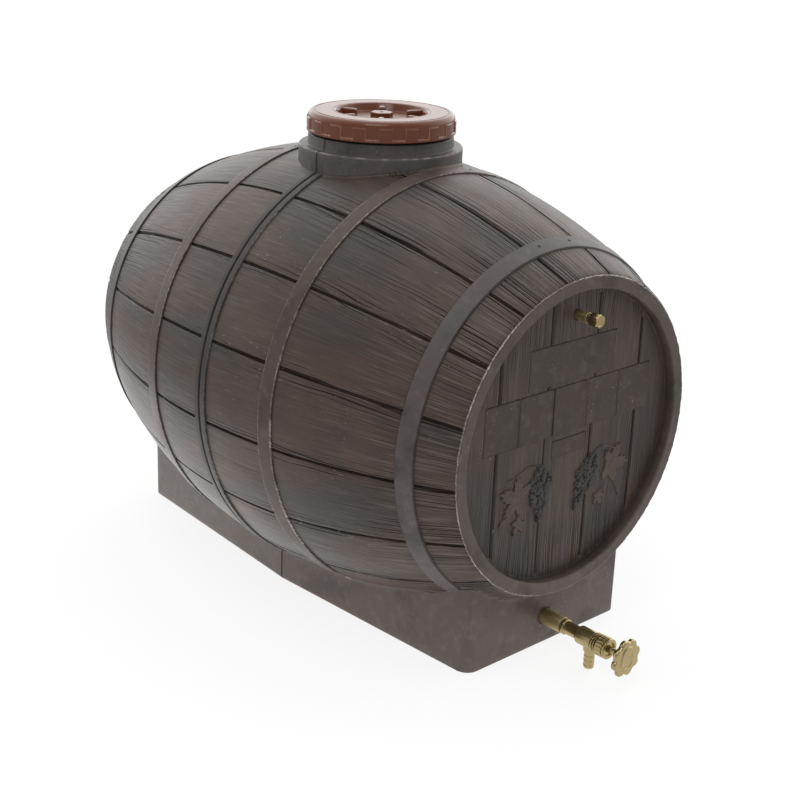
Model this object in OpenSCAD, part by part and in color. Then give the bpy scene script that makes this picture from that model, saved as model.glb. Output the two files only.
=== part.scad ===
// Plastic wine barrel lying on its own moulded base, with a screw lid, a drain tap and a vent plug.
// Millimetres. The barrel axis runs along Y, the tap end faces -Y and +Z is up.
// The origin is the centre of the base underside.

/* [Barrel] */
// Length over the two chimes
barrel_length = 820; // [600:5:1100]
// Outer diameter at the widest point
bulge_d = 638; // [560:2:760]
// Outer diameter at the two ends
end_d = 444; // [400:2:520]
// Height of the bulge above the base underside
bulge_gap = 1; // [1:0.5:20]
// Moulded wall thickness
wall = 6; // [5:0.5:8]
// Width of the chime's face round each head
chime_w = 18.5; // [14:0.5:30]
// Depth of each head behind the chime
head_depth = 16; // [10:0.5:30]
// Spacing of the joints between head planks
plank_pitch = 91; // [60:1:110]
// Angle from one stave joint to the next
stave_pitch = 21.1; // [15:0.1:30]
// Angle that a stave joint takes up
joint_angle = 0.9; // [0.5:0.1:1.5]
// Depth of stave and plank joints
joint_depth = 2; // [1:0.25:3]
// Width of a joint between head planks
plank_gap = 4; // [2:0.5:6]
// Length of head left plain at each end of a plank joint
plank_end = 3; // [2:0.5:10]

/* [Hoops] */
// Height of a hoop above the staves
hoop_t = 2.5; // [1.5:0.25:4]
// Width of a hoop
hoop_w = 24.4; // [16:0.2:36]
// Distance of the inner hoops from mid length
hoop_in_y = 135; // [90:1:180]
// Distance of the outer hoops from mid length
hoop_out_y = 346.2; // [280:1:360]
// Width of the parting groove in the middle hoop
parting_w = 2.5; // [1:0.25:5]

/* [Base] */
// Distance of the base's end walls behind the chimes
base_inset = 33; // [20:1:60]
// Width of the base at mid length
base_mid_w = 345; // [320:1:400]
// Width of the base at its ends
base_end_w = 300; // [240:1:320]
// Radius of the upright edges at the underside
edge_r = 5; // [4:0.5:12]
// Radius of the left front corner at the underside
corner_r = 14; // [5:1:40]
// Height at which the upright edges run out sharp
corner_h = 90; // [20:1:100]
// Bevel round the underside
base_bevel = 3; // [1:0.5:6]

/* [Neck and lid] */
// Diameter of the collar round the neck
collar_d = 238; // [232:1:280]
// Height of the collar's top above the bulge
collar_rise = 9; // [6:1:20]
// Diameter of the shoulder between collar and lid
shoulder_d = 211; // [208:1:214]
// Height of the shoulder that shows under the lid
shoulder_h = 18.5; // [10:0.5:30]
// Diameter over the neck's thread
neck_d = 200.8; // [190:0.2:202]
// Height of the threaded neck above its shoulder
neck_h = 21.5; // [18:0.5:30]
// Diameter of the filling mouth
mouth_d = 186; // [160:1:188]
// Play between the neck and the lid, on the radius
lid_play = 0.35; // [0.2:0.05:0.8]
// Gap between the shoulder and the lid's lower edge
lid_gap = 0.5; // [0.3:0.1:2]
// Outer diameter of the lid
lid_d = 216; // [214:0.5:226]
// Thickness of the lid's top
lid_top = 5; // [4:0.5:8]
// Rounding of the lid's top edge
lid_round = 4; // [2:0.5:5]
// How far the grip pads stand out of the lid's upper bead
grip_t = 2.4; // [2:0.1:3]
// Depth of the pockets between grip pads
grip_depth = 1.6; // [0.8:0.1:1.7]
// Number of grip pads round the lid
grip_n = 18; // [10:1:24]
// Turn of the first pocket from the X axis
grip_turn = 17; // [0:1:20]
// Height of the plain band under the grip pads
grip_foot = 4.5; // [3:0.5:6]
// Distance of the grip pads' upper ends from the lid's top
grip_drop = 9.5; // [7:0.5:12]
// Diameter of the sunk middle of the lid
dish_d = 135; // [110:1:145]
// Depth of the sunk middle
dish_depth = 11; // [6:0.5:14]
// Number of lugs in the sunk middle
lug_n = 6; // [4:1:8]
// Width of one lug
lug_w = 9; // [6:0.5:14]
// Length of one lug
lug_l = 20; // [10:1:24]
// Distance of the lugs' inner ends from the lid's axis
lug_r = 44; // [30:1:46]
// Turn of the first lug from the X axis
lug_turn = 48; // [0:1:60]
// Distance of the lugs' tops from the lid's top
lug_drop = 2.5; // [0.5:0.5:4]
// Size of the hexagon in the middle, across its corners
boss_d = 33; // [24:1:44]
// Distance of the hexagon's top from the lid's top
boss_drop = 2.5; // [0.5:0.5:4]
// Diameter of the dimple in the hexagon
dimple_d = 8; // [4:0.5:14]
// Thickness of the lid seal
seal_t = 3; // [2:0.5:5]

/* [Tap] */
// Height of the tap's axis above the base underside
tap_height = 43; // [43:0.5:56]
// Diameter of the sleeve moulded into the base wall
insert_d = 23.5; // [21:0.5:30]
// Diameter of the flange that keeps the sleeve in the wall
insert_flange_d = 32.5; // [30:0.5:40]
// Length of that sleeve outside the wall
insert_out = 36; // [28:1:50]
// Thickness of the flange that holds a sleeve inside the wall
grip_flange = 3; // [2:0.5:5]
// Diameter over the tap's inlet thread
tail_d = 16.6; // [15.6:0.1:18]
// Length of that thread inside the sleeve
tail_in = 22; // [12:1:26]
// Thickness of the inlet washer
inlet_washer_t = 2.5; // [1.5:0.25:4]
// Diameter of the flange behind the inlet washer
tap_flange_d = 22.6; // [20:0.2:26]
// Thickness of that flange
tap_flange_t = 3.5; // [2:0.25:5]
// Diameter of the pipe before the tap's body
pipe_d = 18.8; // [17:0.2:22]
// Length of that pipe
pipe_l = 22; // [12:1:30]
// Diameter of the tap's body
body_d = 25.8; // [25:0.2:29]
// Length of the tap's body
body_l = 33; // [32:1:42]
// Diameter of the water way
way_d = 11; // [10:0.2:12]
// Diameter of the valve chamber
chamber_d = 20; // [19:0.2:21]
// Distance of the valve seat from the body's inlet end
seat_at = 14; // [10:0.5:15]
// Outer diameter of the hose tail
spout_d = 15; // [13:0.5:18]
// Bore of the hose tail
spout_bore = 9; // [6:0.5:10]
// Diameter of the boss that joins the hose tail to the body
spout_boss_d = 18.4; // [16:0.2:22]
// Length of the hose tail below that boss
spout_l = 25; // [18:0.5:26]
// Height of the hose tail's end above the base underside
spout_end = 1.5; // [1:0.5:12]
// Depth of the grooves in the hose tail
barb_depth = 0.7; // [0.3:0.1:1]

/* [Bonnet and gland] */
// Thickness of the bonnet washer
bonnet_washer_t = 1.5; // [1:0.25:2.5]
// Diameter of the rings on each side of that washer
ring_d = 27.6; // [26.5:0.2:29]
// Thickness of each of those rings
ring_t = 2.5; // [1.5:0.25:4]
// Diameter over the bonnet's upper thread
bonnet_d = 22; // [21:0.2:23]
// Length of that thread
bonnet_l = 10.5; // [10:0.25:14]
// Thickness of the gland packing
packing_t = 5; // [3:0.25:5.5]
// Diameter of the packing's chamber
packing_d = 17; // [15:0.2:18]
// Outer diameter of the gland nut
gland_d = 29.4; // [28:0.2:32]
// Number of grooves in the gland nut's grip
gland_n = 16; // [10:1:20]
// Play of parts that screw or slide together, on the radius
run_play = 0.05; // [0.02:0.01:0.09]

/* [Valve and wheel] */
// Travel of the valve from shut to open
valve_travel = 6; // [4:0.5:6.5]
// Diameter over the stem's thread
stem_thread_d = 11.2; // [10.6:0.2:12]
// Diameter of the stem where it shows
stem_d = 9.2; // [8:0.2:9.8]
// Diameter of the valve disc
jumper_d = 16; // [14:0.5:17]
// Thickness of the valve disc
jumper_t = 3; // [2:0.25:3.5]
// Thickness of the valve washer
valve_washer_t = 3; // [2:0.25:3.5]
// Diameter of the valve disc's spindle
spindle_d = 6; // [4:0.2:6.4]
// Diameter over the handwheel's lobes
wheel_d = 54; // [48:1:64]
// Thickness of the handwheel
wheel_t = 8; // [6:0.5:12]
// Number of lobes
lobe_n = 8; // [6:1:10]
// Diameter of one lobe
lobe_d = 15; // [10:0.5:16]
// Diameter of the handwheel between its lobes
web_d = 46.8; // [40:0.2:50]
// Turn of the handwheel on its stem
wheel_turn = 9; // [0:1:45]
// Width of the handwheel's raised middle
plateau_w = 24; // [16:1:30]
// Length of the handwheel's raised middle
plateau_l = 34; // [30:1:42]
// Height of that raised middle
plateau_h = 1.4; // [0.6:0.1:3]
// Width of the rim round the raised middle
plateau_rim = 4; // [2:0.5:6]
// Depth of the panel inside that rim
panel_depth = 0.6; // [0.3:0.1:1]
// Distance from the gland nut to the handwheel's hub
stem_show = 13; // [8:0.5:20]
// Length of the handwheel's hub
hub_l = 10; // [6:0.5:14]
// Diameter of the handwheel's hub
hub_d = 15.6; // [14:0.2:20]

/* [Vent] */
// Height of the vent above the barrel axis
vent_rise = 168; // [140:1:172]
// Diameter of the vent sleeve at the head
vent_d = 12.4; // [12:0.2:16]
// Diameter of the vent sleeve at its outer end
vent_end_d = 15.2; // [14.4:0.2:18]
// Diameter of the flange that keeps the vent sleeve in the head
vent_flange_d = 18.4; // [17:0.2:24]
// Length of the vent sleeve outside the head
vent_out = 20; // [12:1:30]
// Diameter over the vent plug's thread
plug_d = 9.6; // [8:0.2:9.8]
// Thickness of the vent washer
vent_washer_t = 1.5; // [1:0.25:2.5]
// Size of the vent plug's hexagon across its flats
hex_af = 17; // [15:0.5:19]
// Length of that hexagon
hex_l = 14; // [8:0.5:20]

/* [Hidden] */
$fn = 96;
over = 5;
hoop_sink = 1.5;
bulge_r = bulge_d / 2;
end_r = end_d / 2;
half = barrel_length / 2;
axis_height = bulge_r + bulge_gap;
bow = bulge_r - end_r;
arc_r = (half * half + bow * bow) / (2 * bow);
arc_c = arc_r - bulge_r;
head_r = end_r - chime_w;
head_y = half - head_depth;
base_y = half - base_inset;
base_top = axis_height - sqrt(pow(end_r, 2) - pow(base_end_w / 2, 2)) + 2 * wall;
base_mid_r = 8;
foot_least = 1;
joint_n = 7;
hoop_stop = asin((base_end_w / 2 - 2 * wall) / (bulge_r + hoop_t));
collar_foot = 70;
collar_z = axis_height + bulge_r + collar_rise;
shoulder_z = collar_z + shoulder_h;
lip_z = shoulder_z + neck_h;
lid_z = shoulder_z + lid_gap;
lid_under = lip_z + seal_t;
lid_h = lid_under + lid_top - lid_z;
bead_r = lid_d / 2 - grip_t;
lid_bore_r = neck_d / 2 + lid_play;
dish_wall = 4.5;
seal_play = 0.5;
s_washer = insert_out;
s_flange = s_washer + inlet_washer_t;
s_pipe = s_flange + tap_flange_t;
s_body = s_pipe + pipe_l;
s_seat = s_body + seat_at;
s_disc = s_seat + valve_washer_t;
s_stem = s_disc + jumper_t;
spout_gap = 2.5;
s_spout = s_seat + spout_bore / 2 + spout_gap;
s_end = s_body + body_l;
bonnet_gap = 1;
s_bonnet = s_stem + valve_travel + bonnet_gap;
s_ring = s_end + bonnet_washer_t;
s_neck = s_ring + ring_t;
pack_floor = 3;
s_pack = s_neck + pack_floor;
s_follow = s_pack + packing_t;
cap_gap = 1.5;
s_cap = s_neck + bonnet_l + cap_gap;
thread_gap = 0.8;
s_thread = s_pack - valve_travel - thread_gap;
gland_cap = 3;
gland_rim = 2.5;
gland_step = 1;
gland_lip = 4.5;
gland_gap = 0.5;
gland_skirt = 2;
gland_hole_play = 0.6;
groove_r = 1.3;
groove_out = 0.3;
s_front = s_cap + gland_cap + gland_rim;
s_hub = s_front + stem_show;
s_wheel = s_hub + hub_l;
wheel_skin = 3;
stem_in = hub_l + wheel_t - wheel_skin;
spindle_l = 8;
spindle_gap = 0.5;
stud_d = 4.4;
stud_l = 6;
nut_af = 7;
nut_t = 2.4;
washer_step = 1.3;
cone_d = 21.8;
cone_l = 3;
barb_n = 3;
barb_w = 1.2;
barb_at = 5;
barb_pitch = 7;
v_washer = vent_out;
v_plug = v_washer + vent_washer_t;
plug_ring_t = 2;
v_neck = v_plug + plug_ring_t;
plug_neck_l = 1.5;
plug_step = 1;
v_hex = v_neck + plug_neck_l;
hex_cham = 1.5;
vent_washer_step = 0.8;
slot_w = 2;
slot_in = 2.4;
plug_from = 2;

// Puts a piece drawn along +Z on the barrel axis, with its +Z end towards the front
module on_axis() translate([0, 0, axis_height]) rotate([90, 0, 0]) children();

// Puts a piece drawn along +Z on the tap's axis, with z = 0 at the base's front wall
module on_tap() translate([0, -base_y, tap_height]) rotate([90, 0, 0]) children();

// Puts a piece drawn along +Z on the vent's axis, with z = 0 at the front head
module on_vent() translate([0, -head_y, axis_height + vent_rise]) rotate([90, 0, 0]) children();

// Draws a straight ring from z0 to z1
module ring(r_in, r_out, z0, z1) translate([0, 0, z0]) difference() {
    cylinder(r = r_out, h = z1 - z0);
    translate([0, 0, -1]) cylinder(r = r_in, h = z1 - z0 + 2);
}

// Draws a disc or rod from z0 to z1
module rod(r, z0, z1) translate([0, 0, z0]) cylinder(r = r, h = z1 - z0);

// Half section of the barrel's skin, set in by g and cut at length l each way
module skin(g, l) intersection() {
    translate([-arc_c, 0]) circle(r = arc_r - g);
    translate([0, -l]) square([bulge_r + over, 2 * l]);
}

// Half section of a band on the skin, from depth d under it to height t over it, between y0 and y1
module band(d, t, y0, y1) intersection() {
    difference() {
        translate([-arc_c, 0]) circle(r = arc_r + t);
        translate([-arc_c, 0]) circle(r = arc_r - d);
    }
    translate([head_r - chime_w, y0]) square([bulge_r, y1 - y0]);
}

// One hoop, open at the bottom where the base takes over
module hoop(y, w) rotate([0, 0, -90 + hoop_stop]) rotate_extrude(angle = 360 - 2 * hoop_stop) {
    band(hoop_sink, hoop_t, y - w / 2, y + w / 2);
}

// All joints between the staves that show above the base
module stave_joints() for (i = [-joint_n:joint_n - 1]) {
    rotate([0, 0, 90 + (i + 0.5) * stave_pitch - joint_angle / 2]) rotate_extrude(angle = joint_angle) {
        band(joint_depth, over, -half - over, half + over);
    }
}

// The joints between the planks of one head
module plank_joints() for (i = [-1.5:1:1.5]) {
    x = i * plank_pitch;
    chord = 2 * sqrt(head_r * head_r - x * x);
    translate([x, 0, 0]) cube([plank_gap, chord - 2 * plank_end, 2 * joint_depth], center = true);
}

// Outline of the base, set in by g
function base_plan(g) = [
    [base_mid_w / 2 - g, 0], [base_end_w / 2 - g, base_y - g], [-base_end_w / 2 + g, base_y - g],
    [-base_mid_w / 2 + g, 0], [-base_end_w / 2 + g, -base_y + g], [base_end_w / 2 - g, -base_y + g]
];

// Radius of one upright edge at the underside, set in by g
function foot_r(x, y, g) = max((x < 0 && y < 0 ? corner_r : edge_r) - g, base_bevel + foot_least);

// The base as a block, set in by g, whose upright edges are round at the foot and sharp higher up
module base_block(g) hull() {
    translate([0, 0, corner_h]) linear_extrude(base_top - corner_h) polygon(base_plan(g));
    for (x = [-1, 1], y = [-1, 1]) {
        r = foot_r(x, y, g);
        translate([x * (base_end_w / 2 - g - r), y * (base_y - g - r), g])
            cylinder(r1 = r - base_bevel, r2 = r, h = base_bevel, $fn = 32);
    }
    for (x = [-1, 1]) translate([x * (base_mid_w / 2 - base_mid_r - g), 0, g])
        cylinder(r1 = base_mid_r - base_bevel, r2 = base_mid_r, h = base_bevel, $fn = 16);
}

// Barrel, hoops, base and neck in one moulding
module barrel_shell() color([0.20, 0.17, 0.16]) difference() {
    union() {
        on_axis() {
            difference() {
                rotate_extrude() skin(0, half);
                stave_joints();
            }
            for (y = [-hoop_out_y, -hoop_in_y, hoop_in_y, hoop_out_y]) hoop(y, hoop_w);
            for (y = [-1, 1]) hoop(y * (hoop_w + parting_w) / 4, (hoop_w - parting_w) / 2);
        }
        base_block(0);
        rod(collar_d / 2, collar_z - collar_foot, collar_z);
        rod(shoulder_d / 2, collar_z - 1, shoulder_z);
        rod(neck_d / 2, shoulder_z - 1, lip_z);
    }
    on_axis() {
        rotate_extrude() skin(wall, head_y - wall);
        for (s = [-1, 1]) {
            translate([0, 0, s * (half + over)])
                cylinder(r = head_r, h = 2 * (head_depth + over), center = true);
            translate([0, 0, s * head_y]) plank_joints();
        }
    }
    base_block(wall);
    rod(collar_d / 2 - wall, axis_height, collar_z - wall);
    rod(mouth_d / 2, axis_height, lip_z + 1);
    on_tap() rod(insert_d / 2, -wall - 2, 2);
    on_vent() rod(vent_d / 2, -wall - 2, 2);
}

// Half section of the lid's outside
module lid_section() {
    square([bead_r - lid_round, lid_h]);
    square([bead_r, lid_h - lid_round]);
    square([lid_d / 2, lid_h - grip_drop]);
    translate([bead_r - lid_round, lid_h - lid_round]) circle(r = lid_round);
}

// Screw lid with a sunk middle, lugs and grip pads
module lid() color([0.35, 0.18, 0.12]) translate([0, 0, lid_z]) {
    difference() {
        rotate_extrude() intersection() {
            lid_section();
            square([lid_d, lid_h]);
        }
        ring(dish_d / 2 + dish_wall, lid_bore_r, -1, lid_h - lid_top);
        rod(dish_d / 2 + dish_wall + 1, -1, lid_h - dish_depth - dish_wall);
        rod(dish_d / 2, lid_h - dish_depth, lid_h + 1);
        for (i = [0:grip_n - 1]) rotate([0, 0, grip_turn + i * 360 / grip_n]) {
            rotate_extrude(angle = 180 / grip_n) translate([lid_d / 2 - grip_depth, grip_foot])
                square([grip_depth + 1, lid_h - grip_drop - grip_foot + 1]);
        }
    }
    for (i = [0:lug_n - 1]) rotate([0, 0, lug_turn + i * 360 / lug_n]) {
        translate([lug_r, -lug_w / 2, lid_h - dish_depth - 1])
            cube([lug_l, lug_w, dish_depth + 1 - lug_drop]);
    }
    difference() {
        translate([0, 0, lid_h - dish_depth - 1])
            cylinder(d = boss_d, h = dish_depth + 1 - boss_drop, $fn = 6);
        rod(dimple_d / 2, lid_h - 2 * boss_drop, lid_h);
    }
}

// Flat ring between the neck's lip and the lid
module lid_seal() color([0.08, 0.08, 0.08]) {
    ring(mouth_d / 2 + seal_play, neck_d / 2 - seal_play, lip_z, lid_under);
}

// Sleeve moulded into the base wall, with a flange inside the wall
module tap_insert() color([0.72, 0.58, 0.30]) on_tap() difference() {
    union() {
        rod(insert_d / 2, -wall - grip_flange, insert_out);
        rod(insert_flange_d / 2, -wall - grip_flange, -wall);
    }
    rod(tail_d / 2 + run_play, -wall - grip_flange - 1, insert_out + 1);
}

// Washer between the sleeve and the tap
module inlet_washer() color([0.10, 0.07, 0.06]) on_tap() {
    ring(tail_d / 2 + run_play, tap_flange_d / 2 - washer_step, s_washer, s_flange);
}

// Casting of the tap: inlet tail, valve chamber and hose tail
module tap_body() color([0.72, 0.58, 0.30]) on_tap() difference() {
    union() {
        rod(tail_d / 2, s_washer - tail_in, s_flange + 1);
        rod(tap_flange_d / 2, s_flange, s_pipe);
        rod(pipe_d / 2, s_pipe - 1, s_body + 1);
        translate([0, 0, s_body]) cylinder(d1 = cone_d, d2 = body_d, h = cone_l);
        rod(body_d / 2, s_body + cone_l, s_end);
        rod(ring_d / 2, s_end - ring_t, s_end);
        translate([0, 0, s_spout]) rotate([90, 0, 0]) {
            cylinder(d = spout_boss_d, h = tap_height - spout_end - spout_l);
            difference() {
                cylinder(d = spout_d, h = tap_height - spout_end);
                for (i = [0:barb_n - 1]) translate([0, 0, tap_height - spout_end - barb_at - i * barb_pitch])
                    ring(spout_d / 2 - barb_depth, spout_d, -barb_w / 2, barb_w / 2);
            }
        }
    }
    rod(way_d / 2, s_washer - tail_in - 1, s_seat + 1);
    rod(chamber_d / 2, s_seat, s_end + 1);
    translate([0, 0, s_spout]) rotate([90, 0, 0]) cylinder(d = spout_bore, h = tap_height);
}

// Washer between the tap's body and the bonnet
module bonnet_washer() color([0.10, 0.07, 0.06]) on_tap() {
    ring(chamber_d / 2, ring_d / 2 - washer_step, s_end, s_ring);
}

// Bonnet that holds the stem's nut thread and the packing
module bonnet() color([0.72, 0.58, 0.30]) on_tap() difference() {
    union() {
        rod(chamber_d / 2 - run_play, s_bonnet, s_ring + 1);
        rod(ring_d / 2, s_ring, s_neck);
        rod(bonnet_d / 2, s_neck - 1, s_neck + bonnet_l);
    }
    rod(stem_thread_d / 2 + run_play, s_bonnet - 1, s_pack + 1);
    rod(packing_d / 2, s_pack, s_neck + bonnet_l + 1);
}

// Packing ring round the stem
module gland_packing() color([0.12, 0.12, 0.12]) on_tap() {
    ring(stem_d / 2 + run_play, packing_d / 2 - run_play, s_pack, s_follow);
}

// Ring that presses on the packing
module gland_follower() color([0.72, 0.58, 0.30]) on_tap() {
    ring(stem_d / 2 + run_play, packing_d / 2 - run_play, s_follow, s_cap);
}

// Ribbed nut over the gland
module gland_nut() color([0.72, 0.58, 0.30]) on_tap() difference() {
    union() {
        rod(gland_d / 2, s_neck + gland_gap, s_front - gland_rim);
        rod(gland_d / 2 - gland_step, s_neck + gland_gap, s_front);
    }
    rod(bonnet_d / 2 + run_play, s_neck, s_cap);
    rod(stem_d / 2 + gland_hole_play, s_cap - 1, s_front + 1);
    rod(gland_d / 2 - gland_lip, s_cap + gland_cap, s_front + 1);
    for (i = [0:gland_n - 1]) rotate([0, 0, i * 360 / gland_n])
        translate([gland_d / 2 + groove_out, 0, s_neck + gland_gap + gland_skirt])
            cylinder(r = groove_r, h = s_front, $fn = 24);
}

// Stem with its screw thread at the inner end
module stem() color([0.72, 0.58, 0.30]) on_tap() difference() {
    union() {
        rod(stem_thread_d / 2, s_stem, s_thread);
        rod(stem_d / 2, s_thread - 1, s_hub + stem_in);
    }
    rod(spindle_d / 2 + run_play, s_stem - 1, s_stem + spindle_l + spindle_gap);
}

// Outline with straight sides and round ends, upright
module stadium(w, l) {
    square([w, l - w], center = true);
    for (s = [-1, 1]) translate([0, s * (l - w) / 2]) circle(d = w);
}

// Handwheel with lobes and a raised middle that has a sunk panel
module handwheel() color([0.74, 0.61, 0.36]) on_tap() rotate([0, 0, -wheel_turn]) difference() {
    union() {
        rod(hub_d / 2, s_hub, s_wheel + 1);
        translate([0, 0, s_wheel]) linear_extrude(wheel_t) {
            circle(d = web_d);
            for (i = [0:lobe_n - 1]) rotate((i + 0.5) * 360 / lobe_n) {
                translate([(wheel_d - lobe_d) / 2, 0]) circle(d = lobe_d);
            }
        }
        translate([0, 0, s_wheel + wheel_t - 1]) linear_extrude(plateau_h + 1) stadium(plateau_w, plateau_l);
    }
    translate([0, 0, s_wheel + wheel_t + plateau_h - panel_depth]) linear_extrude(panel_depth + 1) {
        stadium(plateau_w - 2 * plateau_rim, plateau_l - 2 * plateau_rim);
    }
    rod(stem_d / 2, s_hub - 1, s_hub + stem_in);
}

// Valve disc with a spindle that turns in the stem
module jumper() color([0.72, 0.58, 0.30]) on_tap() {
    rod(jumper_d / 2, s_disc, s_stem);
    rod(spindle_d / 2, s_stem - 1, s_stem + spindle_l);
    rod(stud_d / 2, s_disc - stud_l, s_disc + 1);
}

// Washer that shuts on the seat
module jumper_washer() color([0.10, 0.10, 0.10]) on_tap() ring(stud_d / 2, jumper_d / 2, s_seat, s_disc);

// Nut that holds the washer
module jumper_nut() color([0.72, 0.58, 0.30]) on_tap() translate([0, 0, s_seat - nut_t]) difference() {
    cylinder(r = nut_af / sqrt(3), h = nut_t, $fn = 6);
    translate([0, 0, -1]) cylinder(d = stud_d, h = nut_t + 2);
}

// Tapered sleeve moulded into the front head
module vent_insert() color([0.72, 0.58, 0.30]) on_vent() difference() {
    union() {
        rod(vent_d / 2, -wall - grip_flange, 1);
        cylinder(d1 = vent_d, d2 = vent_end_d, h = vent_out);
        rod(vent_flange_d / 2, -wall - grip_flange, -wall);
    }
    rod(plug_d / 2 + run_play, -wall - grip_flange - 1, vent_out + 1);
}

// Washer under the vent plug
module vent_washer() color([0.10, 0.07, 0.06]) on_vent() {
    ring(plug_d / 2 + run_play, vent_end_d / 2 - vent_washer_step, v_washer, v_plug);
}

// Vent plug with a hexagon head and an air slot along its thread
module vent_plug() color([0.72, 0.58, 0.30]) on_vent() difference() {
    union() {
        rod(plug_d / 2, plug_from, v_plug + 1);
        rod(vent_end_d / 2, v_plug, v_neck);
        rod(vent_end_d / 2 - plug_step, v_neck - 1, v_hex + 1);
        intersection() {
            translate([0, 0, v_hex]) cylinder(r = hex_af / sqrt(3), h = hex_l, $fn = 6);
            translate([0, 0, v_hex])
                cylinder(r1 = hex_af / 2 + hex_l, r2 = hex_af / sqrt(3) - hex_cham, h = hex_l);
        }
    }
    translate([-slot_w / 2, slot_in, plug_from - 1]) cube([slot_w, plug_d, v_washer - 2 * plug_from]);
}

barrel_shell();
lid();
lid_seal();
tap_insert();
inlet_washer();
tap_body();
bonnet_washer();
bonnet();
gland_packing();
gland_follower();
gland_nut();
stem();
handwheel();
jumper();
jumper_washer();
jumper_nut();
vent_insert();
vent_washer();
vent_plug();
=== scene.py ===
import math
from functools import partial

import bmesh
import bpy
import numpy as np
from bpy.props import FloatProperty, FloatVectorProperty, IntProperty, PointerProperty
from mathutils import Matrix, Vector


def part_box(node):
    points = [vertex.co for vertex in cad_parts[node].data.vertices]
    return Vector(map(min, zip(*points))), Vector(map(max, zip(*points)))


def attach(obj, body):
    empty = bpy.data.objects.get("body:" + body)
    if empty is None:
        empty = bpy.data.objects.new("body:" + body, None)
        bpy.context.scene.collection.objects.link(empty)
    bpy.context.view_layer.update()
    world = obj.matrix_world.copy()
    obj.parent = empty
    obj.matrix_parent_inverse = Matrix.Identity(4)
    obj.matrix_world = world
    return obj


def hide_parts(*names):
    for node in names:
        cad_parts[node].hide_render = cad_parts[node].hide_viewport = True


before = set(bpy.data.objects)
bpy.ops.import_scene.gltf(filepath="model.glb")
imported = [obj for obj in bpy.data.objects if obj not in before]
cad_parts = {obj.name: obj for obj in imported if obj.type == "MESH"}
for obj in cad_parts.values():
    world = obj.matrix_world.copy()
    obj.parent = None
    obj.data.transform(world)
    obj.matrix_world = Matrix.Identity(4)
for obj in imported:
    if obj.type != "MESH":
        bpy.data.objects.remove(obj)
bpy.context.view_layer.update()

bl_info = {
    "name": "Plastic wine barrel",
    "version": (1, 0, 0),
    "blender": (4, 5, 0),
    "location": "View3D > Sidebar > Barrel",
    "description": "Rebuilds a moulded wine barrel with a screw lid, a brass tap and a brass vent plug",
    "category": "Object",
}


def middle_height(node):
    """Height of the middle of a CAD node."""
    low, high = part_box(node)
    return (low.z + high.z) / 2


MM = 0.001
SHELL_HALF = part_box("barrel_shell")[1].y
LID_LOW, LID_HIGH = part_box("lid")
LID_R = (LID_HIGH.x - LID_LOW.x) / 2
TAP_Z, VENT_Z = middle_height("tap_insert"), middle_height("vent_insert")


# Sizes and colours

def length(label, text, value):
    """A size in metres, shown with its unit, from a value in millimetres."""
    return FloatProperty(name=label, description=text, default=value * MM, min=0.0, unit="LENGTH",
                         precision=4)


def srgb(code):
    """Linear red, green and blue of an sRGB hex code."""
    parts = [int(code[i:i + 2], 16) / 255 for i in (1, 3, 5)]
    return tuple(c / 12.92 if c <= 0.04045 else ((c + 0.055) / 1.055) ** 2.4 for c in parts)


def colour(label, text, code):
    """A colour swatch from an sRGB hex code."""
    return FloatVectorProperty(name=label, description=text, subtype="COLOR", size=3, min=0.0, max=1.0,
                               default=srgb(code))


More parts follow.
